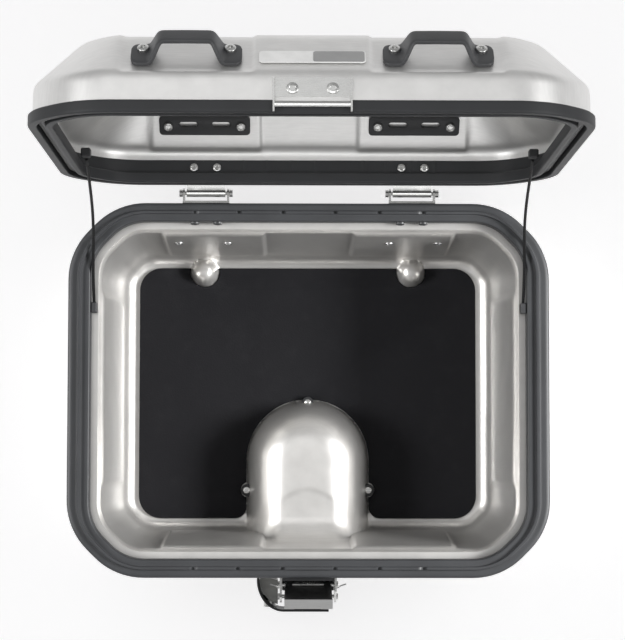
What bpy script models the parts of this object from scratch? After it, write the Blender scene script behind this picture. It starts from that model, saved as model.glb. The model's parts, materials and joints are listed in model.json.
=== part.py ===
"""Hard aluminium luggage case for a motorcycle, lid open, one object for each piece.

Metres, +Z up. The origin is under the middle of the case, +X is to its right and +Y runs from
the latch in front to the hinges behind. The lid's pieces are drawn shut, then turned open
about the hinge axis by the empty that carries them.
"""
import math

import bmesh
import bpy
from mathutils import Matrix, Vector

# Outer frame of the case, seen from above: a rectangle with cut and rounded corners.
FRAME_HALF_X = 0.242
FRAME_HALF_Y = 0.188
CORNER_CUT = 0.0485
CORNER_RADIUS = 0.070
BAND_X = 0.0225                  # width of the frame's top face at the sides
BAND_Y = 0.0185                  # and at the front and rear
CORNER_STEPS = 3

# Heights.
RIM_Z = 0.170                    # rim plane, where case and lid meet
LID_DEPTH = 0.076                # rim plane to the top of the lid
FLOOR_Z = 0.0018                 # top of the floor sheet
SHEET = 0.0018                   # case sheet
LID_SHEET = 0.0016
GAP = 0.0003

# Hinges.
HINGE_Y = 0.1984
HINGE_Z = RIM_Z - 0.0058
HINGE_X = 0.104
OPEN_ANGLE = math.radians(91.9)
EAR_X = 0.0222                   # middle of a hinge to the middle of an ear

# Pressed dome over the carrier catch, and the two pressed bumps over the carrier bars.
DOME_Y = -0.073
DOME_RADIUS = 0.064
BUMP_X = 0.112
BUMP_Y = 0.131
BOSSES = [(-0.064, -0.105), (0.064, -0.105), (0.0, -0.013)]

# Panels pressed into the lid, between these distances from its middle.
PANEL_INNER_X = 0.048
PANEL_OUTER_X = 0.159
PANEL_DEPTH = 0.0017

# Tie-down loops on the front and rear slopes of the lid.
LOOP_X = 0.104
LOOP_BOLT_X = 0.036
LOOP_INSET = 0.0255              # from the lid's wall to the line of bolts

# Latch, in front of the case.
CLAW_PIVOT = Vector((0.0, -0.199, 0.104))
LEVER_PIVOT = Vector((0.0, -0.212, 0.096))
CLAW_REST = math.radians(15.0)   # how far the claw leans out from its hooked place
LOCK_X = -0.0395
LOCK_Z = 0.074
BAR_Y = -0.1878                  # bar of the striker, lid shut
BAR_Z = RIM_Z + 0.0075

# Carrier catch under the dome.
PAWL_PIVOT = Vector((0.0, -0.100, 0.026))
BUTTON_LOW = Vector((-0.014, -0.154, 0.026))
BUTTON_HIGH = Vector((0.014, -0.130, 0.040))

FINISHES = {
    "satin_aluminium": ((0.60, 0.59, 0.57), 0.34, 1.0),
    "black_plastic": ((0.055, 0.056, 0.060), 0.50, 0.0),
    "black_rubber": ((0.012, 0.012, 0.013), 0.90, 0.0),
    "bright_steel": ((0.74, 0.74, 0.73), 0.25, 1.0),
    "grey_zinc": ((0.36, 0.36, 0.36), 0.45, 0.6),
    "black_cord": ((0.015, 0.015, 0.015), 0.80, 0.0),
}

for old in list(bpy.data.objects):
    bpy.data.objects.remove(old, do_unlink=True)

PARTS = bpy.data.collections.new("luggage_case")
CUTTERS = bpy.data.collections.new("cutters")
bpy.context.scene.collection.children.link(PARTS)
bpy.context.scene.collection.children.link(CUTTERS)


def finish(name):
    """The material of that finish, made once."""
    material = bpy.data.materials.get(name)
    if material is None:
        colour, roughness, metallic = FINISHES[name]
        material = bpy.data.materials.new(name)
        material.use_nodes = True
        shader = material.node_tree.nodes["Principled BSDF"]
        shader.inputs["Base Color"].default_value = (*colour, 1.0)
        shader.inputs["Roughness"].default_value = roughness
        shader.inputs["Metallic"].default_value = metallic
        material.diffuse_color = (*colour, 1.0)
    return material


def empty(name, location, turn_x=0.0):
    """An empty on a joint's axis, turned about X."""
    pivot = bpy.data.objects.new(name, None)
    pivot.location = location
    pivot.rotation_euler.x = turn_x
    PARTS.objects.link(pivot)
    return pivot


LID_PIVOT = empty("lid_pivot", (0.0, HINGE_Y, HINGE_Z), -OPEN_ANGLE)
CLAW_EMPTY = empty("claw_pivot", CLAW_PIVOT, CLAW_REST)
LEVER_EMPTY = empty("lever_pivot", LEVER_PIVOT)
PAWL_EMPTY = empty("pawl_pivot", PAWL_PIVOT)


def carry(obj, pivot):
    """Hang an object, drawn in the case's own coordinates, on a pivot's empty."""
    if pivot is not None:
        obj.parent = pivot
        obj.matrix_parent_inverse = Matrix.Translation(-pivot.location)
    return obj


def part(name, mesh, finish_name, pivot=None, smooth=True):
    """A piece of the case."""
    obj = bpy.data.objects.new(name, mesh)
    mesh.materials.append(finish(finish_name))
    if smooth:
        mesh.shade_smooth()
        mesh.set_sharp_from_angle(angle=math.radians(28.0))
    PARTS.objects.link(obj)
    return carry(obj, pivot)


def tool(name, mesh, pivot=None):
    """A hidden shape that is cut from, joined to or crossed with a piece."""
    obj = bpy.data.objects.new(name, mesh)
    obj.hide_render = True
    obj.display_type = "WIRE"
    CUTTERS.objects.link(obj)
    return carry(obj, pivot)


def combine(obj, operation, *tools):
    """Boolean modifiers, one for each tool."""
    for other in tools:
        modifier = obj.modifiers.new(other.name, "BOOLEAN")
        modifier.operation = operation
        modifier.object = other
        modifier.solver = "EXACT"
    return obj


def cut(obj, *tools):
    return combine(obj, "DIFFERENCE", *tools)


def join(obj, *tools):
    return combine(obj, "UNION", *tools)


def cross(obj, *tools):
    return combine(obj, "INTERSECT", *tools)


def bevel(obj, width, segments=1, angle=40.0):
    """Round or break the sharp edges."""
    modifier = obj.modifiers.new("edges", "BEVEL")
    modifier.width = width
    modifier.segments = segments
    modifier.limit_method = "ANGLE"
    modifier.angle_limit = math.radians(angle)
    return obj


def mesh_of(name, points, faces):
    """A mesh with its faces turned outwards."""
    mesh = bpy.data.meshes.new(name)
    mesh.from_pydata([tuple(p) for p in points], [], faces)
    work = bmesh.new()
    work.from_mesh(mesh)
    bmesh.ops.recalc_face_normals(work, faces=work.faces)
    work.to_mesh(mesh)
    work.free()
    return mesh


def block(name, low, high):
    """A box between two corners."""
    work = bmesh.new()
    bmesh.ops.create_cube(work, size=1.0)
    size = Vector(high) - Vector(low)
    middle = (Vector(high) + Vector(low)) / 2
    for vertex in work.verts:
        vertex.co = Vector(a * b for a, b in zip(vertex.co, size)) + middle
    mesh = bpy.data.meshes.new(name)
    work.to_mesh(mesh)
    work.free()
    return mesh


def rod(name, start, end, radius, sides=16, far_radius=None):
    """A round bar between two points; with far_radius it tapers."""
    start, end = Vector(start), Vector(end)
    along = end - start
    work = bmesh.new()
    far = radius if far_radius is None else far_radius
    bmesh.ops.create_cone(work, cap_ends=True, segments=sides, radius1=radius, radius2=far,
                          depth=along.length)
    turn = Vector((0, 0, 1)).rotation_difference(along).to_matrix().to_4x4()
    bmesh.ops.transform(work, matrix=Matrix.Translation((start + end) / 2) @ turn,
                        verts=work.verts)
    mesh = bpy.data.meshes.new(name)
    work.to_mesh(mesh)
    work.free()
    return mesh


def dome_ball(name, middle, radii, sides=16, rings=8):
    """An ellipsoid."""
    work = bmesh.new()
    bmesh.ops.create_uvsphere(work, u_segments=sides, v_segments=rings, radius=1.0)
    shape = Matrix.Translation(middle) @ Matrix.Diagonal((*radii, 1.0))
    bmesh.ops.transform(work, matrix=shape, verts=work.verts)
    mesh = bpy.data.meshes.new(name)
    work.to_mesh(mesh)
    work.free()
    return mesh


def rounded(corners, steps=CORNER_STEPS):
    """Points round a polygon whose corners (x, y, radius) are replaced by arcs."""
    points = []
    for index, (x, y, radius) in enumerate(corners):
        here = Vector((x, y))
        before = (Vector(corners[index - 1][:2]) - here).normalized()
        after = (Vector(corners[(index + 1) % len(corners)][:2]) - here).normalized()
        half = math.acos(max(-1.0, min(1.0, before.dot(after)))) / 2
        centre = here + (before + after).normalized() * (radius / math.sin(half))
        first = here + before * (radius / math.tan(half)) - centre
        sweep = math.pi - 2 * half
        turn = -1.0 if before.cross(after) > 0 else 1.0
        for step in range(steps + 1):
            angle = turn * sweep * step / steps
            spun = Vector((first.x * math.cos(angle) - first.y * math.sin(angle),
                           first.x * math.sin(angle) + first.y * math.cos(angle)))
            points.append(centre + spun)
    return points


def cut_corner_outline(half_x, half_y, corner, radius):
    """A rectangle with 45 degree corners, each end of the cut rounded, anticlockwise."""
    flat_x, flat_y = half_x - corner, half_y - corner
    return rounded([(-flat_x, -half_y, radius), (flat_x, -half_y, radius),
                    (half_x, -flat_y, radius), (half_x, flat_y, radius),
                    (flat_x, half_y, radius), (-flat_x, half_y, radius),
                    (-half_x, flat_y, radius), (-half_x, -flat_y, radius)])


def ring(inset, z):
    """The frame's outline moved inwards by inset, at height z; the band is narrower in Y."""
    band = min(inset, BAND_X)
    inset_y = band * BAND_Y / BAND_X + max(inset - BAND_X, 0.0)
    corner = CORNER_CUT - inset * (2 - math.sqrt(2))
    outline = cut_corner_outline(FRAME_HALF_X - inset, FRAME_HALF_Y - inset_y, corner,
                                 max(CORNER_RADIUS - inset, 0.010))
    return [(p.x, p.y, z) for p in outline]


def loft(name, rings, closed=False):
    """Skin over rings of equal count: capped at both ends, or closed into a loop."""
    count = len(rings[0])
    points = [point for each in rings for point in each]
    faces = []
    spans = len(rings) if closed else len(rings) - 1
    for level in range(spans):
        lower, upper = level * count, (level + 1) % len(rings) * count
        for index in range(count):
            step = (index + 1) % count
            faces.append((lower + index, lower + step, upper + step, upper + index))
    if not closed:
        faces.append(tuple(range(count)))
        faces.append(tuple(range(len(points) - count, len(points))))
    return mesh_of(name, points, faces)


def prism(name, outline, low, high, axis="x"):
    """A flat outline carried along an axis; it holds (y, z) for x, (x, z) for y, (x, y) for z."""
    place = {"x": lambda a, b, c: (c, a, b), "y": lambda a, b, c: (a, c, b),
             "z": lambda a, b, c: (a, b, c)}[axis]
    return loft(name, [[place(a, b, c) for a, b in outline] for c in (low, high)])


def offset_profile(profile, depth):
    """A section line moved sideways by depth, to the side that is on its right."""
    moved = []
    for index, point in enumerate(profile):
        before = Vector(profile[max(index - 1, 0)])
        after = Vector(profile[min(index + 1, len(profile) - 1)])
        along = (after - before).normalized()
        moved.append((point[0] + along.y * depth, point[1] - along.x * depth))
    return moved


# ---- case ----

# Inner face of the case's wall: inset from the frame's outer edge, and height.
WALL = [(0.0585, FLOOR_Z), (0.0515, 0.0035), (0.0460, 0.0090), (0.0430, 0.0180),
        (0.0422, 0.0250), (0.0315, 0.1500)]
LEDGE_Z = 0.1533
LEDGE_OUT = 0.0060
LEDGE_IN = 0.0290


def wall_rings(offset, bottom):
    """The wall's rings, moved out by offset, from the height bottom up to the ledge."""
    moved = offset_profile(WALL, -offset)
    return [ring(moved[0][0], bottom)] + [ring(inset, z) for inset, z in moved[1:]]


def make_case_shell():
    outer = wall_rings(SHEET, 0.0)
    flange = [ring(LEDGE_IN - 0.0006, LEDGE_Z - SHEET), ring(LEDGE_OUT, LEDGE_Z - SHEET),
              ring(LEDGE_OUT, LEDGE_Z), ring(LEDGE_IN, LEDGE_Z)]
    inner = [ring(inset, z) for inset, z in reversed(WALL)]
    shell = part("case_shell", loft("case_shell", outer + flange + inner), "satin_aluminium")
    add_dome(shell)
    add_bumps(shell)
    for index, (x, y) in enumerate(BOSSES):
        hole = rod("boss_hole", (x, y, -0.001), (x, y, 0.0123), 0.0073)
        cut(shell, tool(f"boss_hole_{index}", hole))
    slot_low = BUTTON_LOW + Vector((-0.0006, -0.010, -0.0006))
    slot_high = Vector((0.0146, -0.136, 0.0406))
    cut(shell, tool("button_slot", block("button_slot", slot_low, slot_high)))


def dome_ring(radius, z, front=-0.215):
    """Half a circle behind, straight sides in front, as far as front."""
    arch = [(radius * math.cos(a), DOME_Y + radius * math.sin(a), z)
            for a in [math.pi * step / 12 for step in range(13)]]
    return [(radius, front, z)] + arch + [(-radius, front, z)]


DOME = [(DOME_RADIUS, 0.0005), (0.0638, 0.0030), (0.0620, 0.0130), (0.0570, 0.0330),
        (0.0490, 0.0530), (0.0400, 0.0660), (0.0310, 0.0715), (0.0240, 0.0730)]


def core(name, offset, bottom):
    """The case's inside, grown by offset, with its floor at bottom and a roof at the ledge."""
    rings = wall_rings(offset, bottom)
    return tool(name, loft(name, rings))


def add_dome(shell):
    skin = tool("dome_outer", loft("dome_outer", [dome_ring(r, z) for r, z in DOME]))
    cross(skin, core("core_skin", SHEET / 2, 0.0003))
    hollow_line = [(r - SHEET, z - SHEET * 0.9) for r, z in DOME]
    hollow_line[0] = (hollow_line[0][0], -0.005)
    hollow = tool("dome_inner", loft("dome_inner", [dome_ring(r, z) for r, z in hollow_line]))
    cross(hollow, core("core_hollow", 0.0, -0.004))
    join(shell, skin)
    cut(shell, hollow)


def add_bumps(shell):
    """Two pressed bumps at the rear, hollow from below, for the carrier's hooks."""
    for side, label in ((-1, "left"), (1, "right")):
        middle = (side * BUMP_X, BUMP_Y, 0.0010)
        skin = tool(f"bump_outer_{label}", dome_ball("bump", middle, (0.0150, 0.0155, 0.0240)))
        cross(skin, core(f"bump_core_{label}", SHEET / 2, 0.0004))
        hollow = tool(f"bump_inner_{label}", dome_ball("bump", middle, (0.0132, 0.0137, 0.0222)))
        cross(hollow, core(f"bump_hollow_{label}", 0.0, -0.030))
        join(shell, skin)
        cut(shell, hollow)


def make_case_frame():
    """Plastic frame that grips the case's ledge and carries the rib that meets the seal."""
    section = [(0.0012, 0.1700), (0.0, 0.1688), (0.0, 0.1520), (0.0035, 0.1460),
               (0.0180, 0.1410), (0.0292, 0.1410), (0.0292, 0.1490), (0.0280, 0.1512),
               (0.0057, 0.1512), (0.0057, 0.1536), (0.0225, 0.1536), (0.0225, 0.1692),
               (0.0217, 0.1700), (0.0140, 0.1700), (0.0136, 0.1735), (0.0104, 0.1735),
               (0.0100, 0.1700)]
    frame = part("case_frame", loft("case_frame", [ring(s, z) for s, z in section], True),
                 "black_plastic")
    for name, x in hinge_screws():
        hole = rod("hole", (x, 0.160, SCREW_Z), (x, 0.195, SCREW_Z), 0.0023, 10)
        cut(frame, tool(f"frame_hole_{name}", hole))


def make_floor_mat():
    """Rubber mat with an arch cut out for the dome, and holes round the bosses and bumps."""
    half_x, half_y, arch = 0.1825, 0.1325, 0.0662
    top = DOME_Y + arch
    outline = rounded([(-half_x, -half_y, 0.024), (-arch, -half_y, 0.012),
                       (-arch, top, arch - 0.0001), (arch, top, arch - 0.0001),
                       (arch, -half_y, 0.012), (half_x, -half_y, 0.024),
                       (half_x, half_y, 0.024), (-half_x, half_y, 0.024)], steps=6)
    low, high = FLOOR_Z + GAP, FLOOR_Z + GAP + 0.004
    mat = part("floor_mat", prism("floor_mat", [tuple(p) for p in outline], low, high, "z"),
               "black_rubber")
    for index, (x, y) in enumerate(BOSSES):
        hole = rod("hole", (x, y, 0.0), (x, y, 0.010), 0.0082)
        cut(mat, tool(f"mat_hole_{index}", hole))
    for side in (-1, 1):
        hole = rod("hole", (side * BUMP_X, BUMP_Y, 0.0), (side * BUMP_X, BUMP_Y, 0.010), 0.0168)
        cut(mat, tool(f"mat_bump_{side + 1}", hole))


# ---- hinges ----

SCREW_Z = 0.1600                 # screws through the case frame
LEAF_SCREW_Z = RIM_Z + 0.0172    # screws through the lid frame, lid shut
SCREW_OFFSETS = (-0.0115, 0.0115)


def hinge_screws():
    """Name and X of each hinge screw."""
    return [(f"{label}_{index + 1}", side * HINGE_X + offset)
            for side, label in ((-1, "left"), (1, "right"))
            for index, offset in enumerate(SCREW_OFFSETS)]


def make_hinge(side, label):
    """Bracket on the case with two ears, leaf on the lid with a knuckle, and the pin."""
    middle = side * HINGE_X
    back = FRAME_HALF_Y + GAP
    plate = block("bracket", (middle - 0.0235, back, 0.1535), (middle + 0.0235, back + 0.0022, 0.1672))
    bracket = part(f"hinge_bracket_{label}", plate, "bright_steel")
    for index in (-1, 1):
        ear_x = middle + index * EAR_X
        outline = [(back + 0.001, 0.1535), (HINGE_Y + 0.001, 0.1585)]
        outline += [(HINGE_Y + 0.0050 * math.cos(a), HINGE_Z + 0.0050 * math.sin(a))
                    for a in [math.radians(-60 + 30 * step) for step in range(6)]]
        outline += [(back + 0.001, 0.1672)]
        ear = prism("ear", outline, ear_x - 0.0010, ear_x + 0.0010)
        join(bracket, tool(f"ear_{label}_{index + 1}", ear))
    bore = rod("bore", (middle - 0.03, HINGE_Y, HINGE_Z), (middle + 0.03, HINGE_Y, HINGE_Z), 0.0023)
    cut(bracket, tool(f"bracket_bore_{label}", bore))

    leaf_y = FRAME_HALF_Y + GAP
    half = 0.0195
    leaf_mesh = block("leaf", (middle - half, leaf_y, RIM_Z + 0.0035),
                      (middle + half, leaf_y + 0.0020, RIM_Z + 0.0240))
    leaf = part(f"hinge_leaf_{label}", leaf_mesh, "bright_steel", LID_PIVOT)
    arm = [(leaf_y + 0.0002, RIM_Z + 0.0036), (leaf_y + 0.0018, RIM_Z + 0.0036),
           (HINGE_Y + 0.0028, HINGE_Z + 0.0012), (HINGE_Y + 0.0016, HINGE_Z - 0.0010),
           (HINGE_Y - 0.0020, HINGE_Z + 0.0014)]
    arm_mesh = prism("arm", arm, middle - half + 0.0003, middle + half - 0.0003)
    knuckle = rod("knuckle", (middle - half, HINGE_Y, HINGE_Z), (middle + half, HINGE_Y, HINGE_Z),
                  0.0040)
    join(leaf, tool(f"leaf_arm_{label}", arm_mesh, LID_PIVOT),
         tool(f"leaf_knuckle_{label}", knuckle, LID_PIVOT))
    leaf_bore = rod("bore", (middle - 0.03, HINGE_Y, HINGE_Z), (middle + 0.03, HINGE_Y, HINGE_Z),
                    0.0023)
    cut(leaf, tool(f"leaf_bore_{label}", leaf_bore, LID_PIVOT))

    pin = part(f"hinge_pin_{label}", rod("pin", (middle - 0.0262, HINGE_Y, HINGE_Z),
                                         (middle + 0.0262, HINGE_Y, HINGE_Z), 0.0020),
               "bright_steel")
    for index in (-1, 1):
        head = rod("head", (middle + index * 0.0236, HINGE_Y, HINGE_Z),
                   (middle + index * 0.0268, HINGE_Y, HINGE_Z), 0.0038)
        join(pin, tool(f"pin_head_{label}_{index + 1}", head))
    return leaf


def make_screw(name, head, tip, pivot=None, head_radius=0.0046, shank=0.0020):
    """A round-headed screw from the underside of its head to its tip."""
    head, tip = Vector(head), Vector(tip)
    along = (tip - head).normalized()
    body = part(name, rod(name, head - along * 0.0005, tip, shank, 10), "bright_steel", pivot)
    cap = rod("cap", head, head - along * 0.0030, head_radius, 14, head_radius * 0.62)
    join(body, tool(f"{name}_cap", cap, pivot))
    socket = rod("socket", head - along * 0.0014, head - along * 0.0050, 0.0021, 6)
    cut(body, tool(f"{name}_socket", socket, pivot))


def make_hinge_screws():
    """Screws through the case frame into the brackets, and through the lid into the leaves."""
    inner = FRAME_HALF_Y - BAND_Y
    for name, x in hinge_screws():
        make_screw(f"case_screw_{name}", (x, inner - GAP, SCREW_Z), (x, 0.1925, SCREW_Z))
        side = "left" if x < 0 else "right"
        hole = rod("hole", (x, 0.1700, SCREW_Z), (x, 0.1960, SCREW_Z), 0.0023, 10)
        cut(bpy.data.objects[f"hinge_bracket_{side}"], tool(f"bracket_hole_{name}", hole))
    skirt = FRAME_HALF_Y - LID_SKIRT_IN * BAND_Y / BAND_X
    for name, x in hinge_screws():
        make_screw(f"lid_screw_{name}", (x, skirt - GAP, LEAF_SCREW_Z), (x, 0.1916, LEAF_SCREW_Z),
                   LID_PIVOT, 0.0042)
        side = "left" if x < 0 else "right"
        for target in ("lid_shell", "lid_frame", f"hinge_leaf_{side}"):
            hole = rod("hole", (x, 0.1700, LEAF_SCREW_Z), (x, 0.1960, LEAF_SCREW_Z), 0.0023, 10)
            cut(bpy.data.objects[target], tool(f"{target}_hole_{name}", hole, LID_PIVOT))


# ---- lid ----

LID_WALL = 0.0040                # inset of the lid's sheet from the frame's outer edge
LID_SKIRT_IN = 0.0088            # inset of the frame's inner skirt

# Outer face of the lid: distance in from its wall, and height over the rim plane.
LID_LINE = [(0.0, 0.0060), (0.0006, 0.0310), (0.0016, 0.0346), (0.0040, 0.0376),
            (0.0365, 0.0700), (0.0395, 0.0726), (0.0435, 0.0746), (0.0490, 0.0757),
            (0.0560, LID_DEPTH)]


def lid_ring(inset, height):
    """The lid's outline, inset from its wall, at a height over the rim plane."""
    outline = cut_corner_outline(FRAME_HALF_X - LID_WALL - inset, 0.1847 - 0.875 * inset,
                                 0.046 - 0.40 * inset, 0.066 - 0.63 * inset)
    return [(p.x, p.y, RIM_Z + height) for p in outline]


def stepped_block(name, offset, base):
    """The lid's solid block, its face moved inwards by offset, with the side panels sunk."""
    line = offset_profile(LID_LINE, offset)
    line[0] = (line[0][0], base)
    body = tool(name, loft(name, [lid_ring(a, b) for a, b in line]), LID_PIVOT)
    low = [(-0.004, 0.010), (-0.004, 0.0330 - offset), (0.0018 + offset, 0.0360 - offset * 0.5)]
    sunk = low + offset_profile(LID_LINE, offset + PANEL_DEPTH)[3:]
    for side, label in ((-1, "left"), (1, "right")):
        edges = sorted((side * PANEL_INNER_X, side * PANEL_OUTER_X))
        slab = tool(f"{name}_slab_{label}",
                    block("slab", (edges[0], -0.2, RIM_Z + 0.020), (edges[1], 0.2, RIM_Z + 0.090)),
                    LID_PIVOT)
        kept = tool(f"{name}_kept_{label}", loft("kept", [lid_ring(a, b) for a, b in sunk]), LID_PIVOT)
        cut(slab, kept)
        cut(body, slab)
    return body


def make_lid_shell():
    outside = stepped_block("lid_outside", 0.0, 0.0060)
    hollow = stepped_block("lid_hollow", LID_SHEET, -0.010)
    shell = part("lid_shell", outside.data.copy(), "satin_aluminium", LID_PIVOT)
    for modifier in outside.modifiers:
        combine(shell, modifier.operation, modifier.object)
    cut(shell, hollow)
    bpy.data.objects.remove(outside, do_unlink=True)
    return shell


def make_lid_frame():
    """Plastic frame round the lid's mouth, with a groove for the seal and an inner skirt."""
    section = [(0.0008, 0.0004), (0.0, 0.0012), (0.0, 0.0100), (0.0010, 0.0110),
               (0.0037, 0.0113), (0.0037, 0.0057), (0.0065, 0.0057), (0.0065, 0.0250),
               (LID_SKIRT_IN, 0.0250), (LID_SKIRT_IN, 0.0115), (0.0215, 0.0110),
               (0.0225, 0.0100), (0.0225, 0.0012), (0.0217, 0.0004), (0.0160, 0.0004),
               (0.0160, 0.0070), (0.0080, 0.0070), (0.0080, 0.0004)]
    rings = [ring(s, RIM_Z + d) for s, d in section]
    frame = part("lid_frame", loft("lid_frame", rings, True), "black_plastic", LID_PIVOT)
    notch = block("notch", (-0.034, -0.195, RIM_Z - 0.002), (0.034, -0.1846, RIM_Z + 0.014))
    cut(frame, tool("striker_notch", notch, LID_PIVOT))


def make_lid_seal():
    section = [(0.0084, 0.0043), (0.0084, 0.0067), (0.0156, 0.0067), (0.0156, 0.0043)]
    rings = [ring(s, RIM_Z + d) for s, d in section]
    part("lid_seal", loft("lid_seal", rings, True), "black_rubber", LID_PIVOT)


def slope_frame(end, side):
    """Axes on a slope of the lid: along X, up the slope, outwards; end is -1 front, 1 rear."""
    run, rise = 0.0325 * 0.875, 0.0324
    length = math.hypot(run, rise)
    up = Vector((0.0, -end * run / length, rise / length))
    out = Vector((0.0, end * rise / length, run / length))
    height = 0.0376 + (LOOP_INSET - 0.004) * (0.0324 / 0.0325)
    on_slope = Vector((side * LOOP_X, end * (0.1847 - 0.875 * LOOP_INSET), RIM_Z + height))
    origin = on_slope - out * PANEL_DEPTH
    return Matrix(((1, up.x, out.x, origin.x), (0, up.y, out.y, origin.y),
                   (0, up.z, out.z, origin.z), (0, 0, 0, 1)))


def on_slope(mesh, frame):
    mesh.transform(frame)
    if frame.determinant() < 0:
        mesh.flip_normals()
    return mesh


def make_loop(end, side, label):
    """A handle-shaped loop on a slope, its plate inside the lid and the two bolts."""
    frame = slope_frame(end, side)
    foot = GAP
    line = [(-0.0455, foot), (-0.0440, 0.0040), (-0.0305, 0.0042), (-0.0235, 0.0195),
            (0.0235, 0.0195), (0.0305, 0.0042), (0.0440, 0.0040), (0.0455, foot),
            (0.0265, foot), (0.0200, 0.0148), (-0.0200, 0.0148), (-0.0265, foot)]
    loop = part(f"loop_{label}", on_slope(prism("loop", line, -0.0085, 0.0085, "y"), frame),
                "black_plastic", LID_PIVOT)
    inside = -LID_SHEET - GAP
    plate_mesh = block("plate", (-0.0450, -0.0105, inside - 0.0028), (0.0450, 0.0105, inside))
    plate = part(f"backing_plate_{label}", on_slope(plate_mesh, frame), "black_plastic", LID_PIVOT)
    for index in (-1, 1):
        slot = block("slot", (index * 0.0162 - 0.009, -0.0010, -0.010),
                     (index * 0.0162 + 0.009, 0.0045, 0.0))
        cut(plate, tool(f"slot_{label}_{index + 1}", on_slope(slot, frame), LID_PIVOT))
    for index in (-1, 1):
        x = index * LOOP_BOLT_X
        for target in (f"loop_{label}", f"backing_plate_{label}", "lid_shell"):
            hole = rod("hole", (x, 0, -0.012), (x, 0, 0.012), 0.0026, 10)
            cut(bpy.data.objects[target],
                tool(f"{target}_{label}_{index + 1}", on_slope(hole, frame), LID_PIVOT))
        name = f"loop_bolt_{label}_{1 if index < 0 else 2}"
        shank = rod(name, (x, 0, inside - 0.0060), (x, 0, 0.0050), 0.0022, 10)
        bolt = part(name, on_slope(shank, frame), "bright_steel", LID_PIVOT)
        head = rod("head", (x, 0, 0.0047), (x, 0, 0.0076), 0.0047, 14, 0.0034)
        nut = rod("nut", (x, 0, inside - 0.0031), (x, 0, inside - 0.0066), 0.0046, 6)
        join(bolt, tool(f"{name}_head", on_slope(head, frame), LID_PIVOT),
             tool(f"{name}_nut", on_slope(nut, frame), LID_PIVOT))


def make_striker():
    """Steel plate on the lid's front wall with two ears and the bar that the claw holds."""
    face = -0.1847 - GAP
    plate = block("plate", (-0.0320, face - 0.0015, RIM_Z + 0.0140), (0.0320, face, RIM_Z + 0.0300))
    striker = part("striker", plate, "bright_steel", LID_PIVOT)
    for index in (-1, 1):
        low, high = sorted((index * 0.0326, index * 0.0311))
        ear = block("ear", (low, -0.1903, RIM_Z + 0.0010), (high, face - 0.0002, RIM_Z + 0.0298))
        join(striker, tool(f"striker_ear_{index + 1}", ear, LID_PIVOT))
    bar = rod("bar", (-0.0320, BAR_Y, BAR_Z), (0.0320, BAR_Y, BAR_Z), 0.0025, 12)
    join(striker, tool("striker_bar", bar, LID_PIVOT))
    for index, label in ((-1, "left"), (1, "right")):
        x, z = index * 0.0165, RIM_Z + 0.0205
        name = f"striker_rivet_{label}"
        shank = rod(name, (x, -0.1805, z), (x, -0.1870, z), 0.0021, 10)
        rivet = part(name, shank, "bright_steel", LID_PIVOT)
        join(rivet, tool(f"{name}_head", rod("head", (x, -0.1868, z), (x, -0.1892, z), 0.0050, 16,
                                             0.0042), LID_PIVOT))
        for target in ("striker", "lid_shell"):
            hole = rod("hole", (x, -0.1700, z), (x, -0.1950, z), 0.0024, 10)
            cut(bpy.data.objects[target], tool(f"{target}_hole_{label}", hole, LID_PIVOT))
        clearance = rod("hole", (x, -0.1700, z), (x, -0.1838, z), 0.0026, 10)
        cut(bpy.data.objects["lid_frame"], tool(f"lid_frame_rivet_{label}", clearance, LID_PIVOT))


# ---- stays ----

STAY_DIAMETER = 0.0030
# Route of the right-hand stay from its clip on the case to its eye on the lid (x, y, z).
STAY_ROUTE = [(0.2164, 0.0881, 0.1622), (0.2168, 0.1050, 0.1658), (0.2168, 0.1210, 0.1700),
              (0.2165, 0.1360, 0.1738), (0.2160, 0.1500, 0.1785), (0.2155, 0.1630, 0.1860),
              (0.2150, 0.1750, 0.1975), (0.2146, 0.1860, 0.2130), (0.2142, 0.1960, 0.2310),
              (0.2138, 0.2050, 0.2485), (0.2136, 0.2120, 0.2620), (0.2135, 0.2175, 0.2715)]
STAY_STEPS = 3                   # points of the cord for each stretch of the route


def smooth_route(points, steps):
    """Points along a Catmull-Rom curve through the given ones."""
    ends = [points[0]] + list(points) + [points[-1]]
    route = []
    for index in range(1, len(ends) - 2):
        a, b, c, d = (Vector(p) for p in ends[index - 1:index + 3])
        for step in range(steps):
            t = step / steps
            route.append(0.5 * (2 * b + (c - a) * t + (2 * a - 5 * b + 4 * c - d) * t ** 2
                                + (3 * b - a - 3 * c + d) * t ** 3))
    return route + [Vector(points[-1])]


def make_stay(side, label):
    """The cord, its clip on the case frame and its eye on the lid frame."""
    route = [(side * p.x, p.y, p.z) for p in smooth_route(STAY_ROUTE, STAY_STEPS)]
    curve = bpy.data.curves.new("stay", "CURVE")
    curve.dimensions = "3D"
    curve.bevel_depth = STAY_DIAMETER / 2
    curve.bevel_resolution = 2
    curve.use_fill_caps = True
    spline = curve.splines.new("POLY")
    spline.points.add(len(route) - 1)
    for point, place in zip(spline.points, route):
        point.co = (*place, 1.0)
    cord = bpy.data.objects.new(f"stay_cord_{label}", curve)
    curve.materials.append(finish("black_cord"))
    PARTS.objects.link(cord)

    face = FRAME_HALF_X - BAND_X - GAP
    low, high = sorted((side * (face - 0.0058), side * face))
    clip = block("clip", (low, 0.0770, 0.1570), (high, 0.0877, 0.1675))
    bevel(part(f"stay_clip_{label}", clip, "black_plastic"), 0.0008)

    low, high = sorted((side * 0.2095, side * 0.2185))
    eye = block("eye", (low, 0.0840, RIM_Z + 0.0115 + GAP), (high, 0.0960, RIM_Z + 0.0200))
    bevel(part(f"stay_eye_{label}", eye, "black_plastic", LID_PIVOT), 0.0010)


# ---- latch ----

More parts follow.
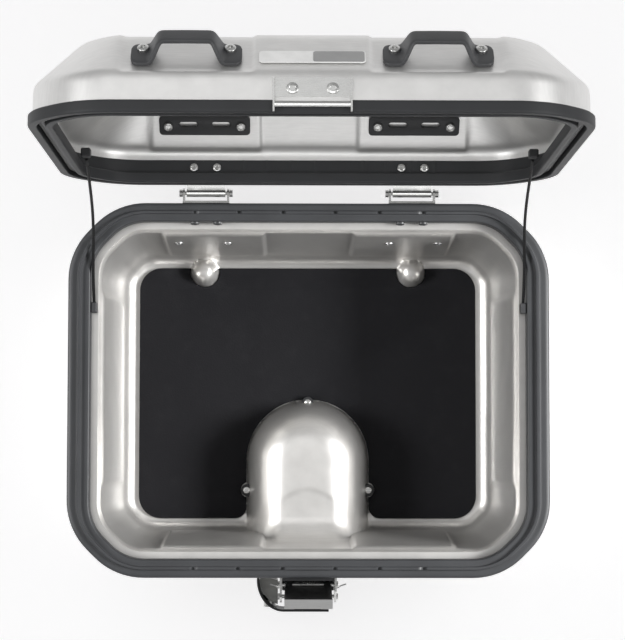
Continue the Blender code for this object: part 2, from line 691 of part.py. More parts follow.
def make_latch_base():
    """Black block under the frame's front, with a low shelf between the bracket's cheeks."""
    outline = [(-0.1620, 0.1000), (-0.1930, 0.1000), (-0.1930, 0.1370), (-0.1622, 0.1370)]
    base = part("latch_base", prism("latch_base", outline, -0.0260, 0.0260), "black_plastic")
    shelf = block("shelf", (-0.0260, -0.2060, 0.0925), (0.0260, -0.1660, 0.0960))
    foot = block("foot", (-0.0260, -0.1900, 0.0925), (0.0260, -0.1700, 0.1010))
    join(base, tool("latch_shelf", shelf), tool("latch_foot", foot))


def make_latch_bracket():
    """Steel channel: two cheeks that hold both pivot pins, joined by a web under the shelf."""
    web = block("web", (-0.0290, -0.2060, 0.0900), (0.0290, -0.1680, 0.0922))
    bracket = part("latch_bracket", web, "bright_steel")
    for index in (-1, 1):
        low, high = sorted((index * 0.0268, index * 0.0290))
        outline = [(-0.1680, 0.0900), (-0.2120, 0.0890), (-0.2170, 0.0910), (-0.2180, 0.1000),
                   (-0.2120, 0.1080), (-0.2040, 0.1330), (-0.1930, 0.1370), (-0.1680, 0.1370)]
        join(bracket, tool(f"cheek_{index + 1}", prism("cheek", outline, low, high)))
    for label, pivot in (("claw", CLAW_PIVOT), ("lever", LEVER_PIVOT)):
        bore = rod("bore", pivot - Vector((0.04, 0, 0)), pivot + Vector((0.04, 0, 0)), 0.0023, 14)
        cut(bracket, tool(f"cheek_bore_{label}", bore))


def make_latch_claw():
    """Steel claw, drawn hooked over the bar: two knuckles, a plate and a hook at the top."""
    plate = block("plate", (-0.0240, -0.1970, 0.1180), (0.0240, -0.1950, RIM_Z + 0.0128))
    claw = part("latch_claw", plate, "bright_steel", CLAW_EMPTY)
    hook = block("hook", (-0.0240, -0.1965, RIM_Z + 0.0108), (0.0240, -0.1872, RIM_Z + 0.0128))
    join(claw, tool("claw_hook", hook, CLAW_EMPTY))
    for index in (-1, 1):
        low, high = sorted((index * 0.0160, index * 0.0230))
        arm = block("arm", (low, -0.1970, 0.1040), (high, -0.1950, 0.1200))
        knuckle = rod("knuckle", (low, CLAW_PIVOT.y, CLAW_PIVOT.z),
                      (high, CLAW_PIVOT.y, CLAW_PIVOT.z), 0.0044, 14)
        join(claw, tool(f"claw_arm_{index + 1}", arm, CLAW_EMPTY),
             tool(f"claw_knuckle_{index + 1}", knuckle, CLAW_EMPTY))
    bore = rod("bore", CLAW_PIVOT - Vector((0.03, 0, 0)), CLAW_PIVOT + Vector((0.03, 0, 0)),
               0.0023, 14)
    cut(claw, tool("claw_bore", bore, CLAW_EMPTY))


def make_pivot_pin(name, pivot):
    """A pin through both cheeks, with a head at each end."""
    half = 0.0305
    pin = part(name, rod(name, pivot - Vector((half, 0, 0)), pivot + Vector((half, 0, 0)), 0.0020,
                         12), "bright_steel")
    for index in (-1, 1):
        head = rod("head", pivot + Vector((index * 0.0293, 0, 0)),
                   pivot + Vector((index * 0.0310, 0, 0)), 0.0034, 12)
        join(pin, tool(f"{name}_head_{index + 1}", head))


def make_claw_spring():
    """Torsion spring round the claw's pin, between the knuckles."""
    wire, coil_radius, turns = 0.0006, 0.0031, 6
    count = turns * 10
    route = []
    for step in range(count + 1):
        angle = 2 * math.pi * step / 10 + math.pi / 2
        x = -0.0075 + 0.015 * step / count
        route.append((x, CLAW_PIVOT.y + coil_radius * math.cos(angle),
                      CLAW_PIVOT.z + coil_radius * math.sin(angle)))
    curve = bpy.data.curves.new("claw_spring", "CURVE")
    curve.dimensions = "3D"
    curve.bevel_depth = wire
    curve.bevel_resolution = 1
    curve.use_fill_caps = True
    spline = curve.splines.new("POLY")
    spline.points.add(len(route) - 1)
    for point, place in zip(spline.points, route):
        point.co = (*place, 1.0)
    spring = bpy.data.objects.new("claw_spring", curve)
    curve.materials.append(finish("bright_steel"))
    PARTS.objects.link(spring)


COVER = 0.0023                   # wall of the lever's cover
COVER_Y = -0.2220                # inner face of its front


def cover_line(offset):
    """Plan of the cover from its free end round to the case: a straight front, then a bow."""
    front = COVER_Y - offset
    line = [(0.0215, front), (-0.0250, front)]
    bow_x, bow_y = 0.0255 + offset, 0.0265 + offset
    for step in range(1, 8):
        angle = math.radians(90 + 102 * step / 7)
        line.append((-0.0250 + bow_x * math.cos(angle), -0.1955 - bow_y * math.sin(angle)))
    return line


def make_latch_lever():
    """Lever: a hub on its pin, a gusset, and the curved cover that also shields the lock."""
    inner, outer = cover_line(0.0), cover_line(COVER)
    outline = outer + inner[::-1]
    lever = part("latch_lever", prism("latch_lever", outline, 0.0580, 0.0980, "z"),
                 "black_plastic", LEVER_EMPTY)
    hub = rod("hub", LEVER_PIVOT - Vector((0.0235, 0, 0)), LEVER_PIVOT + Vector((0.0235, 0, 0)),
              0.0046, 16)
    gusset = prism("gusset", [(-0.0165, -0.2130), (-0.0130, -0.2232), (0.0130, -0.2232),
                              (0.0165, -0.2130)], 0.0880, 0.0985, "z")
    join(lever, tool("lever_hub", hub, LEVER_EMPTY), tool("lever_gusset", gusset, LEVER_EMPTY))
    bore = rod("bore", LEVER_PIVOT - Vector((0.03, 0, 0)), LEVER_PIVOT + Vector((0.03, 0, 0)),
               0.0023, 16)
    cut(lever, tool("lever_bore", bore, LEVER_EMPTY))
    keyway = rod("keyway", (LOCK_X, -0.2050, LOCK_Z), (LOCK_X, -0.2300, LOCK_Z), 0.0073, 20)
    cut(lever, tool("lever_keyway", keyway, LEVER_EMPTY))


def make_lock():
    """Grey housing behind the cover, and the key cylinder that turns in it."""
    bow = cover_line(-2 * GAP)[2:]
    outline = bow + [(bow[0][0], -0.1960)]
    housing = part("lock_housing", prism("lock_housing", outline, 0.0640, 0.0900, "z"),
                   "grey_zinc", LEVER_EMPTY)
    seat = rod("seat", (LOCK_X, -0.1850, LOCK_Z), (LOCK_X, -0.2300, LOCK_Z), 0.0068, 20)
    cut(housing, tool("lock_seat", seat, LEVER_EMPTY))
    cylinder = part("lock_cylinder", rod("lock_cylinder", (LOCK_X, -0.1990, LOCK_Z),
                                         (LOCK_X, -0.2243, LOCK_Z), 0.0065, 20),
                    "bright_steel", LEVER_EMPTY)
    key_slot = block("key_slot", (LOCK_X - 0.0006, -0.2300, LOCK_Z - 0.0040),
                     (LOCK_X + 0.0006, -0.2160, LOCK_Z + 0.0040))
    cut(cylinder, tool("key_slot", key_slot, LEVER_EMPTY))


# ---- carrier catch ----

def make_receiver():
    """Plastic receiver under the dome: a flange with three bosses and a pocket for the catch."""
    front = -0.1310
    flange = loft("carrier_receiver", [dome_ring(0.0602, z, front) for z in (0.0005, 0.0035)])
    receiver = part("carrier_receiver", flange, "black_plastic")
    tower = block("tower", (-0.030, -0.1300, 0.0010), (0.030, -0.0600, 0.0460))
    join(receiver, tool("receiver_tower", tower))
    for index, (x, y) in enumerate(BOSSES):
        boss = rod("boss", (x, y, 0.0005), (x, y, 0.0120), 0.0070)
        join(receiver, tool(f"receiver_boss_{index}", boss))
    pocket = block("pocket", (-0.022, -0.1220, -0.001), (0.022, -0.0680, 0.0400))
    slot = block("slot", (-0.0146, -0.1400, 0.0254), (0.0146, -0.1200, 0.0406))
    bore = rod("bore", PAWL_PIVOT - Vector((0.04, 0, 0)), PAWL_PIVOT + Vector((0.04, 0, 0)),
               0.0023, 12)
    cut(receiver, tool("receiver_pocket", pocket), tool("receiver_slot", slot),
        tool("receiver_bore", bore))
    for index, (x, y) in enumerate(BOSSES):
        hole = rod("hole", (x, y, 0.0020), (x, y, 0.0150), 0.0018, 10)
        cut(receiver, tool(f"boss_screw_{index}", hole))


def make_pawl():
    """Steel pawl that hooks the carrier's tongue, and its pin."""
    y, z = PAWL_PIVOT.y, PAWL_PIVOT.z
    line = [(-0.0040, 0.0130), (0.0040, 0.0130), (0.0048, 0.0), (0.0030, -0.0080),
            (0.0040, -0.0160), (0.0100, -0.0180), (0.0100, -0.0225), (-0.0040, -0.0225),
            (-0.0060, -0.0160), (-0.0048, 0.0)]
    outline = [(y + a, z + b) for a, b in line]
    pawl = part("carrier_pawl", prism("carrier_pawl", outline, -0.0085, 0.0085), "bright_steel",
                PAWL_EMPTY)
    bore = rod("bore", PAWL_PIVOT - Vector((0.02, 0, 0)), PAWL_PIVOT + Vector((0.02, 0, 0)),
               0.0023, 12)
    cut(pawl, tool("pawl_bore", bore, PAWL_EMPTY))
    part("pawl_pin", rod("pawl_pin", PAWL_PIVOT - Vector((0.0295, 0, 0)),
                         PAWL_PIVOT + Vector((0.0295, 0, 0)), 0.0020, 12), "bright_steel")


def make_release_button():
    """Push button in the front wall; its stem reaches the pawl's tail."""
    cap = block("release_button", BUTTON_LOW, BUTTON_HIGH)
    button = part("release_button", cap, "black_plastic")
    stem = block("stem", (-0.0080, -0.1400, 0.0355), (0.0080, -0.1045, 0.0392))
    join(button, tool("button_stem", stem))
    bevel(button, 0.0006)


def make_carrier_bar(side, label):
    """Steel bar across a rear bump's hollow, for a carrier hook."""
    y, z = BUMP_Y - 0.003, 0.0070
    part(f"carrier_bar_{label}", rod("bar", (side * BUMP_X - 0.0110, y, z),
                                     (side * BUMP_X + 0.0110, y, z), 0.0022, 12), "bright_steel")


SIDES = ((-1, "left"), (1, "right"))

make_case_shell()
make_case_frame()
make_floor_mat()
make_lid_shell()
make_lid_frame()
make_lid_seal()
for side, label in SIDES:
    make_hinge(side, label)
make_hinge_screws()
for end, end_label in ((-1, "front"), (1, "rear")):
    for side, label in SIDES:
        make_loop(end, side, f"{end_label}_{label}")
make_striker()
for side, label in SIDES:
    make_stay(side, label)
make_latch_base()
make_latch_bracket()
make_latch_claw()
make_pivot_pin("claw_pin", CLAW_PIVOT)
make_pivot_pin("lever_pin", LEVER_PIVOT)
make_claw_spring()
make_latch_lever()
make_lock()
make_receiver()
make_pawl()
make_release_button()
for side, label in SIDES:
    make_carrier_bar(side, label)
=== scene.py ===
# %% [markdown]
# # A hard aluminium luggage case, with its lid open
#
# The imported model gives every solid, body and joint of the case. This lesson puts a fine skin over it:
# pressed sheet, moulded plastic, cord and polished fittings, each made from a formula or a short profile.
# Nothing here moves a solid; new pieces lie close to the solids they stand for and ride on the same bodies.

# %% Load the fixed frame
import json
import math

import bmesh
import bpy
import numpy as np
from mathutils import Matrix, Vector

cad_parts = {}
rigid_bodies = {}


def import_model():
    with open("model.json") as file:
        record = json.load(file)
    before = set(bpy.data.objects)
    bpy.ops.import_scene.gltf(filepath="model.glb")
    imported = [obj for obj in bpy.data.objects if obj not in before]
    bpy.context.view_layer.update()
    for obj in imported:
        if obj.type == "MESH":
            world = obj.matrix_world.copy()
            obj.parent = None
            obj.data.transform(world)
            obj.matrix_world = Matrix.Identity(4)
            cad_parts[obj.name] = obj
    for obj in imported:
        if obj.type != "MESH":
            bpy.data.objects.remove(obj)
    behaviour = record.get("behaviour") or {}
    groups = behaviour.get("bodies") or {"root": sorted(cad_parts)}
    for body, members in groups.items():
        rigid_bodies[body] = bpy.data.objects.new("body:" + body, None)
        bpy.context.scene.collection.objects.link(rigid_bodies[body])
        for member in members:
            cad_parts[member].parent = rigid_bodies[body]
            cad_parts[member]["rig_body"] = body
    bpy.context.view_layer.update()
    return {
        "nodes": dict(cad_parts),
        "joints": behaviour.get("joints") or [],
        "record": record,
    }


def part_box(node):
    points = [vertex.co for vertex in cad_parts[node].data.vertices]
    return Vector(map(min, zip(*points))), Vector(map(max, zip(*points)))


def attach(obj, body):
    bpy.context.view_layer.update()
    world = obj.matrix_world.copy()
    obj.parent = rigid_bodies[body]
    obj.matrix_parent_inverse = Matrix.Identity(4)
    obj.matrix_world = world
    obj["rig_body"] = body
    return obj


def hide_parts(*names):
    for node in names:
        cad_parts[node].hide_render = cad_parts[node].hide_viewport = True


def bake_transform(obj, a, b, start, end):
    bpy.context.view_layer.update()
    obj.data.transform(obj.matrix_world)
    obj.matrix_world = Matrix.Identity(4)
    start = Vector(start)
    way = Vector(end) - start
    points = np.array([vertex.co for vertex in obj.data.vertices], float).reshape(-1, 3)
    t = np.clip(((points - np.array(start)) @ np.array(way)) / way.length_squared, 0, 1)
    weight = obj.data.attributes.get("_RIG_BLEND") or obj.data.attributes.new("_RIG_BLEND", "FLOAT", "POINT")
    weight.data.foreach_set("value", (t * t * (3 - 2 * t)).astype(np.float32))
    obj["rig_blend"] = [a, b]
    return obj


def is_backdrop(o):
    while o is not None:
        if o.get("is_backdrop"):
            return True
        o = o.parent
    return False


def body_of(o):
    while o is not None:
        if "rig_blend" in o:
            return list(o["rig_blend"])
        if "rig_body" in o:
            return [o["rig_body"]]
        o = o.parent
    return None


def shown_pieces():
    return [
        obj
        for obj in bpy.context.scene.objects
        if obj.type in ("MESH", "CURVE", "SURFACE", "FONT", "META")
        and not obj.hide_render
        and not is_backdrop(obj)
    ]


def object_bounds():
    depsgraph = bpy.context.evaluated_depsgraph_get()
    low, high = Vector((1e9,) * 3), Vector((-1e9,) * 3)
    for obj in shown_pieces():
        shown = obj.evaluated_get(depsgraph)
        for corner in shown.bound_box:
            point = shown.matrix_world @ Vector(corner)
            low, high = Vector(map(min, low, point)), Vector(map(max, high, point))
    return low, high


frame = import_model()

# %% [markdown]
# ## Camera
#
# The camera hangs about two metres over the case and looks straight down, tipped a few degrees towards
# the hinges. A long lens keeps the walls nearly parallel. Its axes are built from pitch, yaw and roll,
# because a camera that looks down has no useful horizon to aim with.

# %% Camera over the case
PITCH, YAW, ROLL = (math.radians(angle) for angle in (3.298, 0.528, 0.114))
forward = Vector((0.0, math.sin(PITCH), -math.cos(PITCH)))
up = Vector((0.0, math.cos(PITCH), math.sin(PITCH)))
right = Vector((1.0, 0.0, 0.0))
forward, right = (forward * math.cos(YAW) + right * math.sin(YAW),
                  right * math.cos(YAW) - forward * math.sin(YAW))
right, up = (right * math.cos(ROLL) + up * math.sin(ROLL),
             up * math.cos(ROLL) - right * math.sin(ROLL))

lens = bpy.data.cameras.new("view")
lens.lens, lens.sensor_width, lens.clip_end = 110.2, 36.0, 20.0
camera = bpy.data.objects.new("view", lens)
camera.matrix_world = (Matrix.Translation((-0.0145, -0.0433, 2.1342))
                       @ Matrix((right, up, -forward)).transposed().to_4x4())
bpy.context.scene.collection.objects.link(camera)
bpy.context.scene.camera = camera
print("camera looks along", [round(c, 3) for c in forward])

# %% [markdown]
# ## Wires: shader maths as plain expressions
#
# A material is a tree of nodes. One small class wraps a socket, so that `grain * 0.2 + 0.3` adds the two
# Math nodes by itself. Every other node comes from its method `node`, which is told the node's type, its
# settings and what goes into its sockets.


# %% A class that wraps a socket
class Wire:
    """An output socket of a material's tree; arithmetic on it adds Math nodes."""

    def __init__(self, tree, socket=None):
        self.tree, self.socket = tree, socket

    def node(self, kind, settings=None, inputs=None, output=0):
        """Any node: settings first (stops fill a ramp), then inputs by name or number."""
        made = self.tree.nodes.new("ShaderNode" + kind)
        for name, value in (settings or {}).items():
            if name == "stops":
                while len(made.color_ramp.elements) < len(value):
                    made.color_ramp.elements.new(1.0)
                for element, (place, shade) in zip(made.color_ramp.elements, value):
                    element.position, element.color = place, (shade, shade, shade, 1.0)
            else:
                setattr(made, name, value)
        for key, value in (inputs or {}).items():
            if isinstance(value, Wire):
                self.tree.links.new(value.socket, made.inputs[key])
            else:
                made.inputs[key].default_value = value
        return Wire(self.tree, made.outputs[output])

    def math(self, operation, first, second=0.0):
        return self.node("Math", {"operation": operation}, {0: first, 1: second})

    def __add__(self, other):
        return self.math("ADD", self, other)

    def __mul__(self, other):
        return self.math("MULTIPLY", self, other)

    __radd__, __rmul__ = __add__, __mul__

    def stretched(self, x, y, z):
        """Coordinates multiplied along each axis, so that a pattern is drawn out."""
        return self.node("Mapping", {}, {"Vector": self, "Scale": (x, y, z)})

    def noise(self, scale, detail=2.0, roughness=0.5):
        return self.node("TexNoise", {}, {"Vector": self, "Scale": scale, "Detail": detail,
                                          "Roughness": roughness})

    def between(self, low, high):
        """A share from 0 to 1 turned into a value from low to high, clamped."""
        return self.node("MapRange", {}, {0: self, 3: low, 4: high})

    def step(self, low, high):
        """0 below low, 1 above high, smooth between them."""
        return self.node("MapRange", {"interpolation_type": "SMOOTHSTEP"}, {0: self, 1: low, 2: high})

    def mixed(self, first, second):
        """Colour first where this is 0, second where it is 1."""
        return self.node("Mix", {"data_type": "RGBA"}, {0: self, 6: first, 7: second}, 2)


def tint(colour, factor=1.0):
    """A colour made lighter or darker by a factor, with alpha 1."""
    return (*(channel * factor for channel in colour), 1.0)


def finish(name, colour, roughness, metallic=0.0, **fixed):
    """A Principled material with its fixed values; returns it, a wire in its tree and a plug."""
    material = bpy.data.materials.new(name)
    material.use_nodes = True
    tree = material.node_tree
    shader = tree.nodes["Principled BSDF"]
    values = {"Base Color": tint(colour), "Roughness": roughness, "Metallic": metallic}
    for key, value in {**values, **fixed}.items():
        shader.inputs[key.replace("_", " ")].default_value = value

    def plug(**sockets):
        for key, wire in sockets.items():
            tree.links.new(wire.socket, shader.inputs[key.replace("_", " ")])

    return material, Wire(tree).node("TexCoord", output="Object"), plug


def bumped(height, distance, strength=1.0, under=None):
    """A Bump node over a height, on top of an earlier bump if one is given."""
    inputs = {"Height": height, "Distance": distance, "Strength": strength}
    if under is not None:
        inputs["Normal"] = under
    return height.node("Bump", {}, inputs)


print("wires ready")

# %% [markdown]
# ## Pressed aluminium
#
# The case and lid are deep-drawn from satin sheet. Three things make it look so: a fine grain that blurs
# reflections, faint drawing lines, and a very shallow waviness that bends the wide reflections.
# All are noise on object coordinates in metres, so their sizes are real ones.


# %% Satin aluminium, in a wide and a narrow tone
def satin_aluminium(name, colour, roughness, metallic):
    material, place, plug = finish(name, colour, roughness, metallic)
    grain = place.noise(1900.0, 3.0, 0.6)
    lines = place.stretched(70.0, 70.0, 900.0).noise(1.0, 3.0)
    wave = place.noise(16.0, 1.5)
    smudge = place.noise(38.0, 4.0, 0.6)
    shade = lines * 0.5 + smudge * 0.5
    plug(Base_Color=shade.step(0.25, 0.75).mixed(tint(colour, 0.94), tint(colour, 1.05)),
         Roughness=(grain * 0.35 + smudge * 0.65).between(roughness - 0.06, roughness + 0.07),
         Normal=bumped(grain, 0.00003, 0.35, bumped(wave, 0.0016, 0.35)))
    return material


SHEET = satin_aluminium("pressed_sheet", (0.57, 0.56, 0.545), 0.34, 0.78)
LID_SHEET = satin_aluminium("lid_sheet", (0.75, 0.745, 0.735), 0.40, 0.85)
print(SHEET.name, LID_SHEET.name)

# %% [markdown]
# ## Moulded plastic, rubber, steel, die-cast zinc and cord
#
# The frames are glass-filled nylon: dark grey, with a fine spark-eroded texture that scatters light. The mat
# is softer and darker with a shallow pebble. Steel fittings are brushed along X, and the zinc housing is
# painted. The cord's braid follows the cord's own UV map: two sets of strands cross as diagonal waves.


# %% Plastic and rubber
def moulded(name, colour, roughness, pebble, depth):
    material, place, plug = finish(name, colour, roughness, Specular_IOR_Level=0.42)
    grain = place.noise(pebble, 4.0, 0.65)
    cloud = place.noise(24.0, 3.0)
    plug(Base_Color=cloud.step(0.3, 0.7).mixed(tint(colour, 0.90), tint(colour, 1.10)),
         Roughness=(grain * 0.5 + cloud * 0.5).between(roughness - 0.08, roughness + 0.10),
         Normal=bumped(grain, depth, 0.5))
    return material


FRAME_PLASTIC = moulded("frame_plastic", (0.018, 0.019, 0.021), 0.52, 1500.0, 0.00010)
DARK_PLASTIC = moulded("dark_plastic", (0.017, 0.0175, 0.019), 0.45, 1500.0, 0.00010)
LOOP_PLASTIC = moulded("loop_plastic", (0.048, 0.049, 0.052), 0.42, 1300.0, 0.00008)


def rubber_mat():
    material, place, plug = finish("mat_rubber", (0.0060, 0.0060, 0.0072), 0.78,
                                   Specular_IOR_Level=0.18)
    cells = place.node("TexVoronoi", {"feature": "F1"}, {"Vector": place, "Scale": 520.0})
    dust = place.noise(60.0, 5.0, 0.7)
    plug(Base_Color=dust.step(0.45, 0.85).mixed(tint((0.0052, 0.0052, 0.0066)),
                                                tint((0.0095, 0.0095, 0.0110))),
         Roughness=dust.between(0.62, 0.84),
         Normal=bumped(cells, 0.00025, 0.35))
    return material


MAT_RUBBER = rubber_mat()
print(FRAME_PLASTIC.name, DARK_PLASTIC.name, LOOP_PLASTIC.name, MAT_RUBBER.name)


# %% Steel, zinc and paint
def brushed(name, colour, roughness, along=(40.0, 1400.0, 1400.0)):
    material, place, plug = finish(name, colour, roughness, 1.0)
    lines = place.stretched(*along).noise(1.0, 3.0)
    wear = place.noise(150.0, 4.0, 0.7)
    plug(Base_Color=(lines * 0.6 + wear * 0.4).step(0.2, 0.8).mixed(tint(colour, 0.86), tint(colour)),
         Roughness=lines.between(roughness - 0.07, roughness + 0.10),
         Normal=bumped(lines, 0.00002, 0.3))
    return material


STEEL = brushed("bright_steel_finish", (0.62, 0.62, 0.61), 0.26)
DULL_STEEL = brushed("dull_steel_finish", (0.40, 0.40, 0.40), 0.36)


def painted(name, colour, roughness):
    material, place, plug = finish(name, colour, roughness)
    peel = place.noise(420.0, 2.0)
    plug(Base_Color=place.noise(90.0, 3.0).step(0.3, 0.7).mixed(tint(colour, 0.95), tint(colour, 1.04)),
         Roughness=peel.between(roughness - 0.05, roughness + 0.06),
         Normal=bumped(peel, 0.00006, 0.3))
    return material


ZINC = painted("zinc_paint", (0.235, 0.235, 0.225), 0.48)
BADGE_WHITE = painted("badge_white", (0.80, 0.80, 0.79), 0.35)
BADGE_GREY = painted("badge_grey", (0.30, 0.30, 0.30), 0.35)


STRANDS = 8.0                        # strands of the braid each way round the cord


def braid():
    material, place, plug = finish("cord_braid", (0.020, 0.020, 0.021), 0.62)
    own = place.node("TexCoord", output="UV")
    axes = own.node("SeparateXYZ", {}, {0: own}).socket.node.outputs
    u, v = Wire(own.tree, axes[0]), Wire(own.tree, axes[1])
    strands = [u.math("SINE", (u * (STRANDS * sign) + v) * math.tau) for sign in (1.0, -1.0)]
    weave = strands[0].math("MAXIMUM", strands[0], strands[1])
    plug(Base_Color=weave.step(-0.2, 1.0).mixed(tint((0.010, 0.010, 0.011)),
                                                tint((0.034, 0.034, 0.036))),
         Roughness=weave.between(0.72, 0.55),
         Normal=bumped(weave, 0.00015, 0.8))
    return material


BRAID = braid()
print(STEEL.name, ZINC.name, BRAID.name)

# %% [markdown]
# ## Surfaces from arrays
#
# Every new piece is a grid of points worked out as whole arrays: one direction runs round the piece and
# the other along its profile. `skin` turns the grid into a mesh and closes seams and ends.


# %% Grids into meshes
def put(name, mesh, material, body, *replaced, smooth=40.0):
    """A finished mesh as an object at the origin, riding on a body and standing for CAD nodes."""
    mesh.shade_smooth()
    mesh.set_sharp_from_angle(angle=math.radians(smooth))
    obj = bpy.data.objects.new(name, mesh)
    mesh.materials.append(material)
    bpy.context.scene.collection.objects.link(obj)
    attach(obj, body)
    if replaced:
        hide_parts(*replaced)
    return obj


def facing_out(mesh):
    """Merge doubled points and turn the whole closed mesh round if its signed volume is negative."""
    shape = bmesh.new()
    shape.from_mesh(mesh)
    bmesh.ops.remove_doubles(shape, verts=shape.verts, dist=1e-7)
    if shape.calc_volume(signed=True) < 0:
        bmesh.ops.reverse_faces(shape, faces=shape.faces)
    shape.to_mesh(mesh)
    shape.free()
    return mesh


def skin(name, grid, long_seam=False):
    """Quads over grid[along, round, xyz], closed round; a long seam joins its ends, or each gets a cap."""
    rows, columns = grid.shape[:2]
    index = np.arange(rows * columns).reshape(rows, columns)
    index = np.concatenate([index, index[:, :1]], axis=1)
    if long_seam:
        index = np.concatenate([index, index[:1]], axis=0)
    quads = np.stack([index[:-1, :-1], index[:-1, 1:], index[1:, 1:], index[1:, :-1]], axis=-1)
    faces = quads.reshape(-1, 4).tolist()
    if not long_seam:
        faces += [index[0, :columns][::-1].tolist(), index[-1, :columns].tolist()]
    mesh = bpy.data.meshes.new(name)
    mesh.from_pydata(grid.reshape(-1, 3).tolist(), [], faces)
    return facing_out(mesh)


def joined(name, *meshes):
    """Several meshes as one, with nothing merged."""
    shape = bmesh.new()
    for mesh in meshes:
        shape.from_mesh(mesh)
    whole = bpy.data.meshes.new(name)
    shape.to_mesh(whole)
    shape.free()
    return whole


def smoothstep(value, low, high):
    """0 below low, 1 above high, 3t^2 - 2t^3 between."""
    t = np.clip((value - low) / (high - low), 0.0, 1.0)
    return t * t * (3.0 - 2.0 * t)


def softened(line, spacing, reach):
    """A line of points resampled evenly, its corners rounded by a running mean over reach."""
    line = np.asarray(line, float)
    steps = np.linalg.norm(np.diff(line, axis=0), axis=1)
    along = np.concatenate([[0.0], np.cumsum(steps)])
    fine = np.linspace(0.0, along[-1], max(int(along[-1] / 0.0002), 8))
    dense = np.stack([np.interp(fine, along, axis) for axis in line.T], axis=1)
    half = max(int(reach / 2 / (fine[1] - fine[0])), 1)
    padded = np.concatenate([2 * dense[:1] - dense[half:0:-1], dense,
                             2 * dense[-1:] - dense[-2:-half - 2:-1]])
    kernel = np.ones(2 * half + 1) / (2 * half + 1)
    mean = np.stack([np.convolve(axis, kernel, "valid") for axis in padded.T], axis=1)
    picked = np.linspace(0, len(fine) - 1, max(int(along[-1] / spacing) + 1, 4)).round().astype(int)
    return mean[picked]


print("grid tools ready")

# %% [markdown]
# ## The outline that every ring shares
#
# Seen from above, the case is a rectangle with 45 degree corners whose ends are rounded. Each grid line
# round it meets the outline at a station, and the station's place is linear in the outline's four sizes:
# half length, half width, corner cut and radius. So a table of eight numbers per station, worked out once,
# gives any ring at once, even one whose sizes change from point to point.

# %% Stations round the outline
EIGHTH = math.radians(45.0)
TANGENT = math.tan(EIGHTH / 2)       # from a corner to where its arc starts, over the radius
FIXED_X = 0.120                      # grid lines keep their x this far from the middle


def stations(arc_steps=10, middle=124, outer=22, side=64, cut=4):
    """Rows of (x constant, half x, corner, radius) and (y constant, half y, corner, radius)."""
    sign_x, cut_x = np.array([1, 1, 1, 1, -1, -1, -1, -1]), np.array([1, 0, 0, 1, 1, 0, 0, 1])
    sign_y, cut_y = np.array([-1, -1, 1, 1, 1, 1, -1, -1]), np.array([0, 1, 1, 0, 0, 1, 1, 0])
    rows = []
    for corner in range(8):
        start = math.radians(-90.0) + EIGHTH * corner
        heading = (-math.sin(start), math.cos(start))
        before = corner - 1
        if corner in (0, 4):
            way = 1.0 if corner == 0 else -1.0
            share = np.linspace(0.0, 1.0, outer + 1)[1:]
            place = np.linspace(-FIXED_X, FIXED_X, middle + 1)[1:-1]
            place = np.concatenate([np.full(outer, -FIXED_X), place, np.full(outer, FIXED_X)])
            reach = np.concatenate([-share[::-1][1:], [0.0], np.zeros(middle - 1), [0.0], share[:-1]])
            zero = np.zeros_like(place)
            rows.append(np.stack([way * (place - FIXED_X * reach), way * reach, -way * reach,
                                  -way * reach * TANGENT, zero, zero + sign_y[corner], zero, zero], 1))
        else:
            count = side if corner in (2, 6) else cut
            share = np.linspace(0.0, 1.0, count + 1)[1:-1]
            zero = np.zeros_like(share)
            slack = TANGENT * (1.0 - 2.0 * share)
            mix = [(1 - share) * sign[before] + share * sign[corner] for sign in
                   (sign_x, -sign_x * cut_x, sign_y, -sign_y * cut_y)]
            rows.append(np.stack([zero, mix[0], mix[1], slack * heading[0],
                                  zero, mix[2], mix[3], slack * heading[1]], 1))
        angle = start + EIGHTH * np.linspace(0.0, 1.0, arc_steps + 1)
        one = np.ones_like(angle)
        middle_way = start + EIGHTH / 2
        lean = 1.0 / math.cos(EIGHTH / 2)
        rows.append(np.stack([0 * one, one * sign_x[corner], -one * sign_x[corner] * cut_x[corner],
                              np.cos(angle) - math.cos(middle_way) * lean,
                              0 * one, one * sign_y[corner], -one * sign_y[corner] * cut_y[corner],
                              np.sin(angle) - math.sin(middle_way) * lean], 1))
    return np.concatenate(rows)


FINE = stations()
COARSE = stations(10, 40, 6, 26, 3)


def outline(table, half_x, half_y, corner, radius, z):
    """Grid of points: sizes and z broadcast against the stations."""
    c = table.T
    x = c[0] + c[1] * half_x + c[2] * corner + c[3] * radius
    y = c[4] + c[5] * half_y + c[6] * corner + c[7] * radius
    return np.stack(np.broadcast_arrays(x, y, z), axis=-1)


# %% The case's rings and the lid's rings
case_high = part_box("case_frame")[1]
HALF_X, HALF_Y = case_high.x, case_high.y
RIM_Z = 0.170                        # plane where lid and case meet
CUT, ROUND = 0.0485, 0.070           # corner cut and corner radius of the frames
BAND_X, BAND_Y = 0.0225, 0.0185      # width of the frame's top at the sides and at the ends


def case_ring(table, inset, z):
    """Outline moved inwards by inset; the band is narrower at front and rear."""
    inset_y = np.minimum(inset, BAND_X) * (BAND_Y / BAND_X) + np.maximum(inset - BAND_X, 0.0)
    return outline(table, HALF_X - inset, HALF_Y - inset_y, CUT - inset * (2 - math.sqrt(2)),
                   np.maximum(ROUND - inset, 0.010), z)


LID_HALF_X, LID_HALF_Y = HALF_X - 0.0040, HALF_Y - 0.0033


def lid_ring(table, inset, height):
    """The lid's outline, inset from its wall, at a height over the rim, lid shut."""
    return outline(table, LID_HALF_X - inset, LID_HALF_Y - 0.875 * inset, 0.046 - 0.40 * inset,
                   0.066 - 0.63 * inset, RIM_Z + height)


